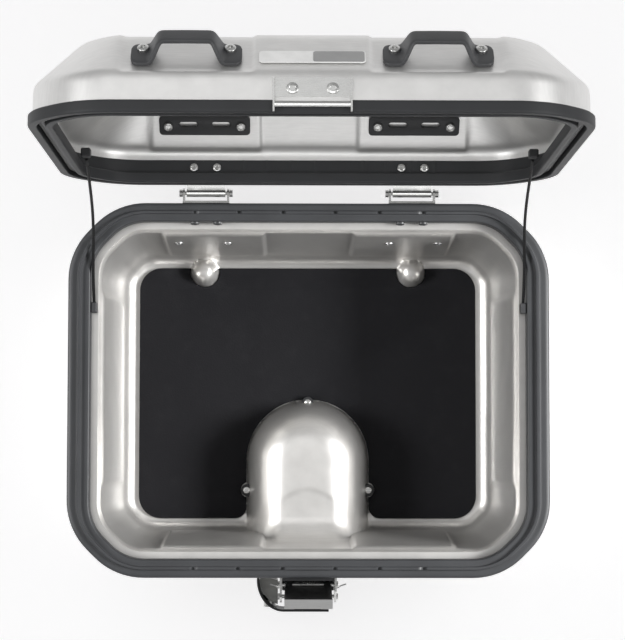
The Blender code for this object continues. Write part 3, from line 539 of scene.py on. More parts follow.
HINGE = next(joint for joint in frame["joints"] if joint["name"] == "lid_hinge")
PIVOT = np.array(HINGE["pos_m"])
OPEN = math.radians(HINGE["range_deg"][1])
TURN = np.array([[1, 0, 0], [0, math.cos(OPEN), math.sin(OPEN)], [0, -math.sin(OPEN), math.cos(OPEN)]])


def opened(grid):
    """Points of a shut lid turned open about the hinge."""
    return (grid - PIVOT) @ TURN.T + PIVOT


def column(values):
    return np.asarray(values, float)[:, None]


print(len(FINE), "fine stations,", len(COARSE), "coarse; case", round(HALF_X * 2000), "mm long")

# %% [markdown]
# ## The stay cords
#
# A cord is made early, because its length is a fact: it runs from a clip on the case to an eye on the
# lid, slack, with a shallow belly. Its route is a list of given points, smoothed by a
# Catmull-Rom curve, and a round section is carried along it. Its UV map runs once round and along its
# length, for the braid.

# %% Two slack stay cords
STAY_DIAMETER = 0.0030
STAY_SIDES, BRAID_PITCH = 12, 0.006
STAY_ROUTE = [(0.2164, 0.0881, 0.1622), (0.2168, 0.1050, 0.1658), (0.2168, 0.1210, 0.1700),
              (0.2165, 0.1360, 0.1738), (0.2160, 0.1500, 0.1785), (0.2155, 0.1630, 0.1860),
              (0.2150, 0.1750, 0.1975), (0.2146, 0.1860, 0.2130), (0.2142, 0.1960, 0.2310),
              (0.2138, 0.2050, 0.2485), (0.2136, 0.2120, 0.2620), (0.2135, 0.2175, 0.2715)]


def catmull_rom(points, steps):
    """Cubic through each point whose slope there is half the step between its neighbours."""
    p = np.asarray(points, float)
    p = np.concatenate([p[:1], p, p[-1:]])
    a, b, c, d = (p[i:len(p) - 3 + i, None] for i in range(4))
    t = np.linspace(0.0, 1.0, steps, endpoint=False)[None, :, None]
    curve = 0.5 * (2 * b + (c - a) * t + (2 * a - 5 * b + 4 * c - d) * t ** 2
                   + (3 * b - a - 3 * c + d) * t ** 3)
    return np.concatenate([curve.reshape(-1, p.shape[1]), p[-1:]])


def tube(name, path, radius, sides=12, hint=(1.0, 0.0, 0.0)):
    """A round section carried along a path; hint is any direction that the path never takes."""
    path = np.asarray(path, float)
    along = np.gradient(path, axis=0)
    along /= np.linalg.norm(along, axis=1, keepdims=True)
    across = np.cross(along, np.asarray(hint))
    across /= np.linalg.norm(across, axis=1, keepdims=True)
    over = np.cross(along, across)
    angle = np.linspace(0.0, math.tau, sides, endpoint=False)
    size = column(np.broadcast_to(radius, len(path)))[:, :, None]
    grid = path[:, None] + size * (across[:, None] * np.cos(angle)[None, :, None]
                                   + over[:, None] * np.sin(angle)[None, :, None])
    return skin(name, grid)


def add_uv(mesh, sides, length, pitch):
    """UV map of a tube: u once round, v in braid pitches along it."""
    loops = np.empty(len(mesh.loops), np.int32)
    mesh.loops.foreach_get("vertex_index", loops)
    rows = len(mesh.vertices) // sides
    u, v = (loops % sides) / sides, (loops // sides) / (rows - 1) * length / pitch
    layer = mesh.uv_layers.new(name="braid")
    layer.data.foreach_set("uv", np.stack([u, v], 1).astype(np.float32).ravel())


SIDES = {"left": -1, "right": 1}
for label, side in SIDES.items():
    route = catmull_rom(STAY_ROUTE, 8) * [side, 1, 1]
    length = float(np.linalg.norm(np.diff(route, axis=0), axis=1).sum())
    mesh = tube(f"stay_{label}", route, STAY_DIAMETER / 2, STAY_SIDES)
    add_uv(mesh, STAY_SIDES, length, BRAID_PITCH)
    cord = put(f"stay_{label}", mesh, BRAID, "case", f"stay_cord_{label}")
    cord.parent = None
    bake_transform(cord, "case", "lid", start=tuple(route[20]), end=tuple(route[-6]))
    print(cord.name, "is", round(length, 4), "m long")

# %% [markdown]
# ## The case: one pressed tub
#
# The tub is one closed grid. Its profile starts under the middle of the floor, runs out and up the outer
# wall, over the flange that the plastic frame grips, and down the inner wall to the middle of the floor
# again. The pressed dome and the two bumps are then raised with a smooth maximum: a point keeps the
# higher of its own height and the dome's, and near a tie the two are blended, which leaves the soft
# fillet that a press tool leaves.

# %% Heights of the dome and the bumps
FLOOR = 0.0018
DOME_Y, DOME_R, DOME_TOP = -0.073, 0.0643, 0.0733
FRONT_R = 0.024                      # hollow fillet between the dome and the front wall
FRONT_Y = -0.1545                    # where that fillet meets the wall
BUMP_Y, BUMP_TOP = 0.131, 0.024      # middle of the bumps, and their height
BUMP_HALF = (0.0150, 0.0155)         # half axes of a bump in plan


def smooth_max(a, b, blend):
    """max(a, b) + blend/4 * (1 - |a-b|/blend)^2 where the two are closer than blend."""
    near = np.clip(1.0 - np.abs(a - b) / blend, 0.0, 1.0)
    return np.maximum(a, b) + 0.25 * blend * near * near


def dome_height(x, y, shrink=0.0):
    """Top times (1 - (r/R)^4)^0.72, r from the axis behind and from the middle line in front."""
    r = np.where(y > DOME_Y, np.hypot(x, y - DOME_Y), np.abs(x)) / (DOME_R - shrink)
    crown = (DOME_TOP - shrink) * np.clip(1.0 - r ** 4, 0.0, 1.0) ** 0.72
    crease = -0.102 - 0.006 * (x / 0.020) ** 2
    crown -= 0.0010 * smoothstep(crease - y, -0.002, 0.004) * smoothstep(-np.abs(x), -0.030, -0.018)
    reach = np.clip(y - FRONT_Y, 0.0, FRONT_R)
    crown += (FRONT_R - np.sqrt(FRONT_R ** 2 - (FRONT_R - reach) ** 2)) * smoothstep(-r, -0.95, -0.45)
    return crown - 0.19 * np.maximum(r - 1.0, 0.0)


def bump_height(x, y, shrink=0.0):
    """Upper half of an ellipsoid over each carrier hook."""
    high_x, high_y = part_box("carrier_bar_right")
    middle = (high_x.x + high_y.x) / 2
    half_x, half_y = BUMP_HALF
    r2 = ((np.abs(x) - middle) / (half_x - shrink)) ** 2 + ((y - BUMP_Y) / (half_y - shrink)) ** 2
    return (BUMP_TOP - shrink) * np.clip(1.0 - r2 ** 1.4, 0.0, 1.0) ** 0.62 - 0.02 * np.maximum(r2 - 1, 0)


def pressed(grid):
    """Raise a grid of the tub's floor and walls over the dome and the bumps."""
    x, y, z = grid[..., 0], grid[..., 1], grid[..., 2]
    soft = 0.0050 + 0.0110 * smoothstep(-y, 0.118, 0.150)
    z = smooth_max(z, dome_height(x, y), soft)
    z = smooth_max(z, bump_height(x, y), 0.0035)
    return np.stack([x, y, z], axis=-1)


# %% The tub itself
PANEL_EDGES = (0.046, 0.148)         # panels in the long walls, from and to this |x|
SIDE_PANEL = 0.097                   # panel in the short walls, up to this |y|
WALL_RELIEF = 0.0026                 # depth of the panels
FLOOR_INSET = 0.0600                 # where the bend ends and the flat floor begins


def wall_relief(grid, z):
    """Extra inset where the walls carry a shallow pressed panel."""
    x, y = np.abs(grid[..., 0]), np.abs(grid[..., 1])
    start, stop = PANEL_EDGES
    long_wall = (smoothstep(y, 0.137, 0.142) * smoothstep(x, start - 0.0013, start + 0.0013)
                 * (1 - smoothstep(x, stop - 0.002, stop + 0.002)))
    short_wall = (smoothstep(x, 0.188, 0.193)
                  * (1 - smoothstep(y, SIDE_PANEL - 0.0018, SIDE_PANEL + 0.0018)))
    fade = smoothstep(z, 0.012, 0.030) * (1 - smoothstep(z, 0.1380, 0.1460))
    return WALL_RELIEF * fade * (long_wall + short_wall)


inner_line = softened([(0.0290, 0.1533), (0.0303, 0.1530), (0.0304, 0.1500), (0.0288, 0.1490),
                       (0.0288, 0.1474), (0.0318, 0.1452), (0.0422, 0.0250), (0.0433, 0.0165),
                       (0.0470, 0.0080), (0.0525, 0.0030), (FLOOR_INSET, FLOOR)], 0.0030, 0.0030)
outer_line = softened([(FLOOR_INSET, 0.0), (0.0515, 0.0015), (0.0450, 0.0078), (0.0413, 0.0165),
                       (0.0404, 0.0250), (0.0300, 0.1470), (0.0284, 0.1513)], 0.0070, 0.0030)
flange = np.array([(0.0075, 0.1515), (0.0062, 0.1519), (0.0060, 0.1524), (0.0062, 0.1530),
                   (0.0075, 0.1533), (0.0284, 0.1533)])

shrinking = np.linspace(0.0, 1.0, 60)[1:, None, None] ** 1.15
floor_edge = case_ring(FINE, np.array([[FLOOR_INSET]]), FLOOR)
floor_rings = floor_edge * [1, 1, 0] * (1 - 0.985 * shrinking) + [0, 0, FLOOR]
walls = case_ring(FINE, column(inner_line[:, 0]), column(inner_line[:, 1]))
relief = wall_relief(walls, column(inner_line[:, 1]))
walls = case_ring(FINE, column(inner_line[:, 0]) + relief, column(inner_line[:, 1]))
inside = pressed(np.concatenate([walls, floor_rings]))

under_rings = (floor_edge * [1, 1, 0] * (1 - 0.985 * shrinking[::3]))[::-1]
x, y = under_rings[..., 0], under_rings[..., 1]
hollow = smooth_max(np.zeros_like(x), dome_height(x, y, FLOOR), 0.001)
under_rings[..., 2] = smooth_max(hollow, bump_height(x, y, FLOOR), 0.001)
lip = np.concatenate([outer_line, flange])
outside = case_ring(FINE, column(lip[:, 0]), column(lip[:, 1]))
tub = skin("tub", np.concatenate([under_rings, outside, inside]))
put("case_tub", tub, SHEET, "case", "case_shell", smooth=50.0)
print("tub has", len(tub.vertices), "points,", 2 * len(tub.polygons), "triangles")

# %% [markdown]
# ## The frames: a profile carried round
#
# Both plastic frames are one moulding with a constant section, so each is a closed profile carried round
# the outline. The case's frame has a thin rib that bites into the lid's seal, with small drain nicks.
# The lid's frame has a groove for the seal, a skirt inside the lid, and a notch in front for the striker.

# %% Case frame with its rib
CASE_SECTION = [(0.0035, 0.1700), (0.0100, 0.1700), (0.0104, 0.1733), (0.0136, 0.1733),
                (0.0140, 0.1696), (0.0212, 0.1696), (0.0225, 0.1684), (0.0225, 0.1540),
                (0.0060, 0.1538), (0.0058, 0.1510), (0.0285, 0.1508), (0.0292, 0.1490),
                (0.0292, 0.1410), (0.0180, 0.1410), (0.0040, 0.1456), (0.0, 0.1520),
                (0.0, 0.1672), (0.0010, 0.1692), (0.0035, 0.1700)]
NICKS = (0.0265, 0.0705, 0.1145)     # |x| of the nicks in the rib


def closed_line(section, spacing, reach):
    """A closed section, softened and without its repeated last point."""
    return softened(section, spacing, reach)[:-1]


section = closed_line(CASE_SECTION, 0.0011, 0.0009)
ring = case_ring(FINE, column(section[:, 0]), column(section[:, 1]))
x, y = np.abs(ring[..., 0]), np.abs(ring[..., 1])
nick = sum(1 - smoothstep(np.abs(x - place), 0.0016, 0.0026) for place in NICKS) * (y > 0.15)
ring[..., 2] -= nick * np.clip(ring[..., 2] - 0.1701, 0.0, None)
frame_mesh = skin("case_moulding", ring[::-1], long_seam=True)
put("case_moulding", frame_mesh, FRAME_PLASTIC, "case", "case_frame", smooth=35.0)
print("case frame has", len(section), "rings")

# %% Lid frame with its groove, skirt and notch
LID_SECTION = [(0.0225, 0.0030), (0.0225, 0.0098), (0.0212, 0.0108), (0.0092, 0.0114),
               (0.0088, 0.0120), (0.0088, 0.0246), (0.0084, 0.0250), (0.0070, 0.0250), (0.0066, 0.0246),
               (0.0066, 0.0060), (0.0038, 0.0058), (0.0038, 0.0112), (0.0012, 0.0110), (0.0, 0.0100),
               (0.0, 0.0018), (0.0010, 0.0004), (0.0078, 0.0004), (0.0080, 0.0010), (0.0080, 0.0069),
               (0.0160, 0.0069), (0.0160, 0.0010), (0.0162, 0.0004), (0.0214, 0.0004), (0.0225, 0.0014),
               (0.0225, 0.0030)]
NOTCH_X = 0.0338                     # half length of the striker's notch
NOTCH_Y = -0.1846                    # its back face
SKIRT_RIBS = np.arange(-5, 6) * 0.0240 + 0.0060

section = closed_line(LID_SECTION, 0.0011, 0.0008)
inset, height = column(section[:, 0]), column(section[:, 1])
ring = case_ring(FINE, inset, RIM_Z + height)
x, y = ring[..., 0], ring[..., 1]
band = (smoothstep(y, 0.150, 0.160) * smoothstep(height, 0.0125, 0.0130) * (inset > 0.0080))
rib = sum(1 - smoothstep(np.abs(x - place), 0.0004, 0.0016) for place in SKIRT_RIBS)
ring[..., 1] -= 0.0007 * rib * band
notch = 1 - smoothstep(np.abs(x), NOTCH_X - 0.0016, NOTCH_X + 0.0010)
ring[..., 1] = np.where(y < -0.15, np.maximum(y, NOTCH_Y * notch + (1 - notch) * -1.0), ring[..., 1])
lid_frame_mesh = skin("lid_moulding", opened(ring), long_seam=True)
put("lid_moulding", lid_frame_mesh, FRAME_PLASTIC, "lid", "lid_frame", smooth=35.0)

seal_section = closed_line([(0.0083, 0.0066), (0.0083, 0.0052), (0.0105, 0.0042), (0.0120, 0.0049),
                            (0.0135, 0.0042), (0.0157, 0.0052), (0.0157, 0.0066), (0.0083, 0.0066)],
                           0.0009, 0.0008)
seal = case_ring(COARSE, column(seal_section[:, 0]), RIM_Z + column(seal_section[:, 1]))
put("seal", skin("seal", opened(seal), long_seam=True), DARK_PLASTIC, "lid", "lid_seal", smooth=60.0)
print("lid frame and seal made")

# %% [markdown]
# ## The lid: pressed sheet with sunk panels
#
# The lid is a shallow tray: a wall, a bend, a long 45 degree slope and a flat top. The fields beside the
# middle band are pressed about 1.7 mm inwards, from one slope over the top to the other. One profile is
# used for both faces of the sheet; the relief is added along the profile's own normal.

# %% Lid sheet
LID_LINE = [(0.0, 0.0064), (0.0005, 0.0320), (0.0020, 0.0362), (0.0050, 0.0386), (0.0365, 0.0700),
            (0.0420, 0.0740), (0.0500, 0.0757), (0.0560, 0.0760)]
SHEET_T, SUNK = 0.0016, 0.0017       # thickness of the sheet, and depth of its panels


def panel_share(x):
    """1 inside the sunk fields beside the middle band, 0 outside them."""
    return smoothstep(x, 0.0468, 0.0500) * (1 - smoothstep(x, 0.1560, 0.1610))


def lid_skin(table, offset, spacing):
    """Rings of one face of the sheet, from the mouth to the middle of the top."""
    line = softened(LID_LINE, spacing, 0.0070)
    along = np.gradient(line, axis=0)
    along /= np.linalg.norm(along, axis=1, keepdims=True)
    normal = np.stack([along[:, 1], -along[:, 0]], axis=1)
    base = line + normal * offset
    flat = lid_ring(table, column(base[:, 0]), column(base[:, 1]))
    sunk = panel_share(np.abs(flat[..., 0])) * smoothstep(column(line[:, 1]), 0.0335, 0.0385) * SUNK
    rings = lid_ring(table, column(base[:, 0]) + sunk * column(normal[:, 0]),
                     column(base[:, 1]) + sunk * column(normal[:, 1]))
    shrink = np.linspace(0.0, 1.0, 26)[1:, None, None]
    edge = rings[-1:]
    top = edge * [1, 1, 0] * (1 - 0.985 * shrink)
    top[..., 2] = RIM_Z + base[-1, 1] - panel_share(np.abs(top[..., 0])) * SUNK
    return np.concatenate([rings, top])


outer_skin = lid_skin(FINE, 0.0, 0.0028)
inner_skin = lid_skin(FINE, SHEET_T, 0.0028)
lid_mesh = skin("lid_sheet", opened(np.concatenate([inner_skin[::-1], outer_skin])))
put("lid_tray", lid_mesh, LID_SHEET, "lid", "lid_shell", smooth=50.0)
print("lid sheet has", len(lid_mesh.vertices), "points")

# %% [markdown]
# ## The floor mat
#
# The mat is a flat outline, cut round the dome and the screws' bosses, so it is drawn as a filled 2D
# curve with a bevelled edge, turned into a mesh and then laid in place.


# %% Plates from flat outlines
def arc(x, y, radius, start, stop, steps=10):
    """Points on a circle, angles in degrees."""
    angle = np.radians(np.linspace(start, stop, steps + 1))
    return np.stack([x + radius * np.cos(angle), y + radius * np.sin(angle)], axis=1)


def pill(x, y, half_x, half_y, radius, steps=8):
    """A rectangle with round corners; a slot when the radius is its half width."""
    corners = [(1, -1, -90), (1, 1, 0), (-1, 1, 90), (-1, -1, 180)]
    return np.concatenate([arc(x + sx * (half_x - radius), y + sy * (half_y - radius), radius,
                               start, start + 90, steps) for sx, sy, start in corners])


def plate(name, loops, thickness, edge, place):
    """Filled outline with holes, centred on its middle plane, with rounded edges, put at place."""
    curve = bpy.data.curves.new(name, "CURVE")
    curve.dimensions, curve.fill_mode = "2D", "BOTH"
    curve.extrude = thickness / 2 - edge
    curve.bevel_depth, curve.bevel_resolution, curve.offset = edge, 2, -edge
    for loop in loops:
        spline = curve.splines.new("POLY")
        spline.points.add(len(loop) - 1)
        spline.points.foreach_set("co", np.concatenate([loop, np.zeros((len(loop), 1)),
                                                        np.ones((len(loop), 1))], 1).ravel())
        spline.use_cyclic_u = True
    holder = bpy.data.objects.new(name, curve)
    mesh = bpy.data.meshes.new_from_object(holder)
    bpy.data.objects.remove(holder)
    mesh.transform(place)
    return facing_out(mesh)


mat_low, mat_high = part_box("floor_mat")
MAT_X, MAT_Y = mat_high.x, mat_high.y + 0.0030
ARCH = DOME_R + 0.0018
BOSS_R, BUMP_R = 0.0083, 0.0158
BOSS_X, BOSS_Y = 0.064, -0.105       # the two side bosses
TOE, CORNER = 0.012, 0.024           # corner radii beside the dome and of the mat
TAB = math.degrees(math.acos((ARCH - BOSS_X) / BOSS_R))
CROWN_X = 0.0057                     # half width where the arch meets the middle boss
crown = math.degrees(math.asin(CROWN_X / ARCH))
lift = math.degrees(math.acos(CROWN_X / BOSS_R))
bump_turn = math.degrees(math.asin((MAT_Y - BUMP_Y) / BUMP_R))


def notch_round(side):
    """The mat's rear edge cut back round a bump, walked from +X to -X."""
    return arc(side * 0.112, BUMP_Y, BUMP_R, bump_turn, -180 - bump_turn, 24)


mat_outline = np.concatenate([
    arc(-ARCH - TOE, -MAT_Y + TOE, TOE, -90, 0, 6),
    arc(-BOSS_X, BOSS_Y, BOSS_R, 180 + TAB, 180 - TAB, 12),
    arc(0.0, DOME_Y, ARCH, 180, 90 + crown, 24),
    arc(0.0, -0.013, BOSS_R, 180 - lift, lift, 12),
    arc(0.0, DOME_Y, ARCH, 90 - crown, 0, 24),
    arc(BOSS_X, BOSS_Y, BOSS_R, TAB, -TAB, 12),
    arc(ARCH + TOE, -MAT_Y + TOE, TOE, 180, 270, 6),
    arc(MAT_X - CORNER, -MAT_Y + CORNER, CORNER, -90, 0),
    arc(MAT_X - CORNER, MAT_Y - CORNER, CORNER, 0, 90),
    notch_round(1), notch_round(-1),
    arc(-MAT_X + CORNER, MAT_Y - CORNER, CORNER, 90, 180),
    arc(-MAT_X + CORNER, -MAT_Y + CORNER, CORNER, 180, 270)])
print("mat", round(MAT_X * 2000), "by", round(MAT_Y * 2000), "mm")

# %% Mat with its arch and its notches
middle = (mat_low.z + mat_high.z) / 2
mat_mesh = plate("mat", [mat_outline], mat_high.z - mat_low.z, 0.0009,
                 Matrix.Translation((0.0, 0.0, middle)))
put("mat", mat_mesh, MAT_RUBBER, "case", "floor_mat", smooth=60.0)
print("mat has", len(mat_mesh.vertices), "points")

# %% [markdown]
# ## Small turned parts
#
# Screws, rivets and nuts are profiles of (radius, height) spun about an axis. Each has a rounded edge and a
# recess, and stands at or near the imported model's plain disc. The hinge screws read their X off it.


# %% Turned profiles
def turned(name, profile, base, axis, sides=28):
    """Spin (radius, height) about axis; height runs along axis from base."""
    axis = Vector(axis).normalized()
    turn = np.array(axis.to_track_quat("Z", "Y").to_matrix())
    angle = np.linspace(0.0, math.tau, sides, endpoint=False)
    p = np.asarray(profile, float)
    height = np.broadcast_to(p[:, 1:], (len(p), sides))
    ring = np.stack([p[:, :1] * np.cos(angle), p[:, :1] * np.sin(angle), height], axis=-1)
    return skin(name, ring @ turn.T + np.asarray(base, float))


def round_head(radius, height, recess, depth):
    """Pan head: side, rounded edge, shallow crown and a hole with a flat bottom."""
    edge = [(radius, 0.0)] + [(radius - 0.35 * height * (1 - math.cos(a)),
                               height * (0.5 + 0.38 * math.sin(a)))
                              for a in np.linspace(0.0, math.pi / 2, 6)]
    return edge + [(radius * 0.6, height * 0.97), (recess * 1.12, height), (recess, height * 0.94),
                   (recess * 0.96, height - depth), (0.0002, height - depth)]


UP_RUN, UP_RISE = 0.65966, 0.75157   # unit vector up the lid's slope: inwards, and up
LOOP_X, LOOP_Y, LOOP_Z = 0.104, 0.1623875, 0.2290338     # middle of a loop on the slope, lid shut


def flip(direction):
    """A direction of the shut lid, turned open."""
    return TURN @ np.asarray(direction, float)


def slope(end, side, x=0.0, out=0.0, up_way=0.0):
    """A point on the lid's front (-1) or rear (1) slope, open: along X, outwards and up the slope."""
    lean_up = np.array([0.0, -end * UP_RUN, UP_RISE])
    lean_out = np.array([0.0, end * UP_RISE, UP_RUN])
    base = np.array([side * LOOP_X, end * LOOP_Y, LOOP_Z]) - lean_out * SUNK
    place = base + np.array([1.0, 0.0, 0.0]) * x + lean_out * out + lean_up * up_way
    return opened(place), flip(lean_out), flip(lean_up)


BOLT_SHIFT = -0.0050                 # bolts sit this far down the slope from the loop's middle
for end, row in ((-1, "front"), (1, "rear")):
    for label, side in SIDES.items():
        for index, x in enumerate((-0.036, 0.036), 1):
            at, way, _ = slope(end, side, x, 0.0042, BOLT_SHIFT)
            put(f"loop_head_{row}_{label}_{index}",
                turned("head", round_head(0.0050, 0.0032, 0.0021, 0.0016), at, way), STEEL, "lid",
                f"loop_bolt_{row}_{label}_{index}", smooth=35.0)
            at, way, _ = slope(end, side, x, -0.0046)
            put(f"loop_nut_{row}_{label}_{index}",
                turned("nut", round_head(0.0045, 0.0036, 0.0027, 0.0016), at, -way), STEEL, "lid",
                smooth=35.0)
for label, x in (("left", -0.0165), ("right", 0.0165)):
    at = opened(np.array([x, -0.1864, RIM_Z + 0.0205]))
    head = round_head(0.0050, 0.0024, 0.0024, 0.0010)
    put(f"rivet_{label}", turned("rivet", head, at, flip((0, -1, 0))), STEEL, "lid",
        f"striker_rivet_{label}", smooth=35.0)
print("loop bolts, nuts and rivets")

# %% Screws of the hinges, dome, latch shelf and rear wall
for label in ("left_1", "left_2", "right_1", "right_2"):
    low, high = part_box(f"case_screw_{label}")
    centre = (low + high) / 2
    put(f"case_screw_head_{label}", turned("screw", round_head(0.0047, 0.0030, 0.0022, 0.0012),
                                          (centre.x, 0.1696, centre.z), (0, -1, 0)),
        DARK_PLASTIC, "case", f"case_screw_{label}", smooth=35.0)
    low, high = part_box(f"lid_screw_{label}")
    centre = (low + high) / 2
    at = opened(np.array([centre.x, 0.1806, RIM_Z + 0.0172]))
    head = round_head(0.0041, 0.0022, 0.0021, 0.0012)
    put(f"lid_screw_head_{label}", turned("screw", head, at, flip((0, -1, 0))), STEEL, "lid",
        f"lid_screw_{label}", smooth=35.0)
BOSS_CAP = [(0.0064, 0.0021), (0.0064, 0.0140), (0.0058, 0.0150), (0.0046, 0.0152), (0.0002, 0.0152)]
for index, (x, y) in enumerate(((0.0655, -0.105), (-0.0655, -0.105), (0.0, -0.0105))):
    put(f"boss_cap_{index}", turned("cap", BOSS_CAP, (x, y, 0.0), (0, 0, 1)), DARK_PLASTIC, "case")
    head = round_head(0.0036, 0.0020, 0.0020, 0.0013)
    put(f"boss_screw_{index}", turned("screw", head, (x, y, 0.0150), (0, 0, 1)), STEEL, "case", smooth=35.0)
for index, x in enumerate((-0.0135, 0.0135)):
    head = round_head(0.0036, 0.0020, 0.0018, 0.0010)
    put(f"shelf_screw_{index}", turned("screw", head, (x, -0.2012, 0.0962), (0, 0, 1)), STEEL, "case",
        smooth=35.0)
NUT_Z = 0.1000                       # height of the rivet nuts in the rear wall
wall_lean = math.atan2(0.0107, 0.125)
wall_y = case_ring(COARSE, np.array([[0.0358]]), np.array([[NUT_Z]]))[0, :, 1].max() - 0.0024
for index, x in enumerate((-0.135, -0.084, 0.084, 0.135)):
    head = round_head(0.0046, 0.0010, 0.0026, 0.0030)
    inwards = (0, -math.cos(wall_lean), math.sin(wall_lean))
    put(f"rivet_nut_{index}", turned("nut", head, (x, wall_y, NUT_Z), inwards), DULL_STEEL, "case",
        smooth=35.0)
print("screws placed")

# %% [markdown]
# ## Lashing loops and their backing plates
#
# A loop is one moulded strap: a rounded flat section carried over two feet, up two legs and across a bar.
# Its feet end in half rounds, so the section narrows there as a circle does. Inside the lid a plate with
# two slots spreads the load.

# %% Four loops, four plates and a blank badge
half_line = [(0.0458, 0.0023), (0.0312, 0.0023), (0.0288, 0.0044), (0.0226, 0.0160), (0.0208, 0.0176),
             (0.0, 0.0178)]
loop_line = softened([(-x, out) for x, out in half_line] + half_line[-2::-1], 0.0012, 0.0050)
BAR_WIDE, FOOT_WIDE, LOOP_THICK = 0.0078, 0.0138, 0.0022
BAR_SHIFT, FOOT_SHIFT = -0.0060, -0.0100


def strap(name, line, thick, foot, end, side):
    """Rounded section along a line of (x, out), wider at the feet, whose ends are rounded by foot."""
    along = np.gradient(line, axis=0)
    along /= np.linalg.norm(along, axis=1, keepdims=True)
    normal = np.stack([-along[:, 1], along[:, 0]], axis=1)
    inside = np.clip((np.abs(line[:, 0]).max() - np.abs(line[:, 0])) / foot, 0.0, 1.0)
    spread = smoothstep(np.abs(line[:, 0]), 0.0190, 0.0300)
    width = BAR_WIDE + (FOOT_WIDE - BAR_WIDE) * spread
    width -= foot * (1 - np.sqrt(np.clip(1 - (1 - inside) ** 2, 0.0, 1.0)))
    shift = BAR_SHIFT + (FOOT_SHIFT - BAR_SHIFT) * spread
    angle = np.linspace(0.0, math.tau, 28, endpoint=False)
    power = 0.45
    across = np.sign(np.cos(angle)) * np.abs(np.cos(angle)) ** power
    over = np.sign(np.sin(angle)) * np.abs(np.sin(angle)) ** power
    x = line[:, :1] + normal[:, :1] * thick * over
    out = line[:, 1:] + normal[:, 1:] * thick * over
    grid_up = shift[:, None] + width[:, None] * across
    origin, way, up_way = slope(end, side)
    grid = (origin + x[..., None] * np.array([1.0, 0.0, 0.0]) + out[..., None] * way
            + grid_up[..., None] * up_way)
    return skin(name, grid)


def in_slope(end, side, out):
    """Matrix that lays a flat plate on the slope, its x along X and its y up the slope."""
    origin, way, up_way = slope(end, side, 0.0, out)
    along, up = Vector((1, 0, 0)), Vector(up_way)
    return Matrix.Translation(origin) @ Matrix((along, up, along.cross(up))).transposed().to_4x4()


for end, row in ((-1, "front"), (1, "rear")):
    for label, side in SIDES.items():
        put(f"strap_loop_{row}_{label}", strap("loop", loop_line, LOOP_THICK, 0.0070, end, side),
            LOOP_PLASTIC, "lid", f"loop_{row}_{label}", smooth=50.0)
        slots = [pill(x, 0.0018, 0.0090, 0.0027, 0.0026)[::-1] for x in (-0.0162, 0.0162)]
        plate_mesh = plate("spreader", [pill(0.0, 0.0, 0.0450, 0.0105, 0.0040)] + slots, 0.0028, 0.0007,
                           in_slope(end, side, -0.0033))
        put(f"spreader_{row}_{label}", plate_mesh, DARK_PLASTIC, "lid", f"backing_plate_{row}_{label}",
            smooth=60.0)
badge = plate("badge", [pill(0.0, -0.0130, 0.0440, 0.0080, 0.0030)], 0.0008, 0.0002,
              in_slope(-1, 0, 0.0012 + SUNK))
put("badge", badge, BADGE_WHITE, "lid", smooth=60.0)
half_badge = plate("badge_half", [pill(0.0218, -0.0130, 0.0212, 0.0071, 0.0024)], 0.0004, 0.0001,
                   in_slope(-1, 0, 0.0018 + SUNK))
put("badge_half", half_badge, BADGE_GREY, "lid", smooth=60.0)
print("loops, spreader plates and badge")

# %% Smooth cover of the latch lever
COVER_Y, COVER_T = -0.2254, 0.0023   # inner face of its front, and its wall
COVER_LOW, COVER_HIGH = 0.0580, 0.0980
BOW_X, BOW_Y, BOW_HALF = -0.0250, -0.1955, (0.0255, 0.0299)  # centre and half axes of its bow


def cover_plan(offset):
    """Plan of the cover: a straight front, then an elliptic bow back to the case."""
    turn = np.radians(np.linspace(90.0, 192.0, 40))
    bow = np.stack([BOW_X + (BOW_HALF[0] + offset) * np.cos(turn),
                    BOW_Y - (BOW_HALF[1] + offset) * np.sin(turn)], axis=1)
    front = np.stack([np.linspace(0.0215, -0.0240, 14), np.full(14, COVER_Y - offset)], axis=1)
    return np.concatenate([front, bow])


def across_wall(edge):
    """Rounded section of the wall: (share of the thickness, height) with corners of size edge."""
    lines = [(edge / COVER_T, COVER_LOW), (1 - edge / COVER_T, COVER_LOW), (1.0, COVER_LOW + edge),
             (1.0, COVER_HIGH - edge), (1 - edge / COVER_T, COVER_HIGH), (edge / COVER_T, COVER_HIGH),
             (0.0, COVER_HIGH - edge), (0.0, COVER_LOW + edge)]
    return np.array(lines)


wall = across_wall(0.0007)
inner, outer = cover_plan(0.0), cover_plan(COVER_T)
plan = inner[:, None] + (outer - inner)[:, None] * wall[None, :, :1]
cover_grid = np.concatenate([plan, np.broadcast_to(wall[None, :, 1:], (len(plan), len(wall), 1))], axis=2)
hub = tube("hub", [(-0.0235, -0.212, 0.096), (0.0235, -0.212, 0.096)], 0.0046, 28, (0.0, 0.0, 1.0))
gusset_plan = np.array([(-0.0165, -0.2130), (-0.0130, -0.2260), (0.0130, -0.2260), (0.0165, -0.2130)])
gusset = np.stack([np.concatenate([gusset_plan, np.full((4, 1), z)], axis=1) for z in (0.0880, 0.0985)])
lever_mesh = joined("lever", skin("cover", cover_grid), hub, skin("gusset", gusset))
put("latch_cover", lever_mesh, DARK_PLASTIC, "lever", "latch_lever", smooth=35.0)
print("lever cover made")

# %% The claw spring's two legs
for label, side in SIDES.items():
    leg = softened([(side * 0.0296, -0.2010, 0.1320), (side * 0.0325, -0.1985, 0.1330),
                    (side * 0.0385, -0.1965, 0.1330)], 0.0006, 0.0020)
    put(f"spring_leg_{label}", tube("leg", leg, 0.0007, 10, (0.0, 0.0, 1.0)), DULL_STEEL, "case", smooth=60.0)
print("spring legs made")

# %% [markdown]
# ## Finishes for the solids that stay
#
# Every solid that still shows takes one of the finishes above, chosen by what it is made of.

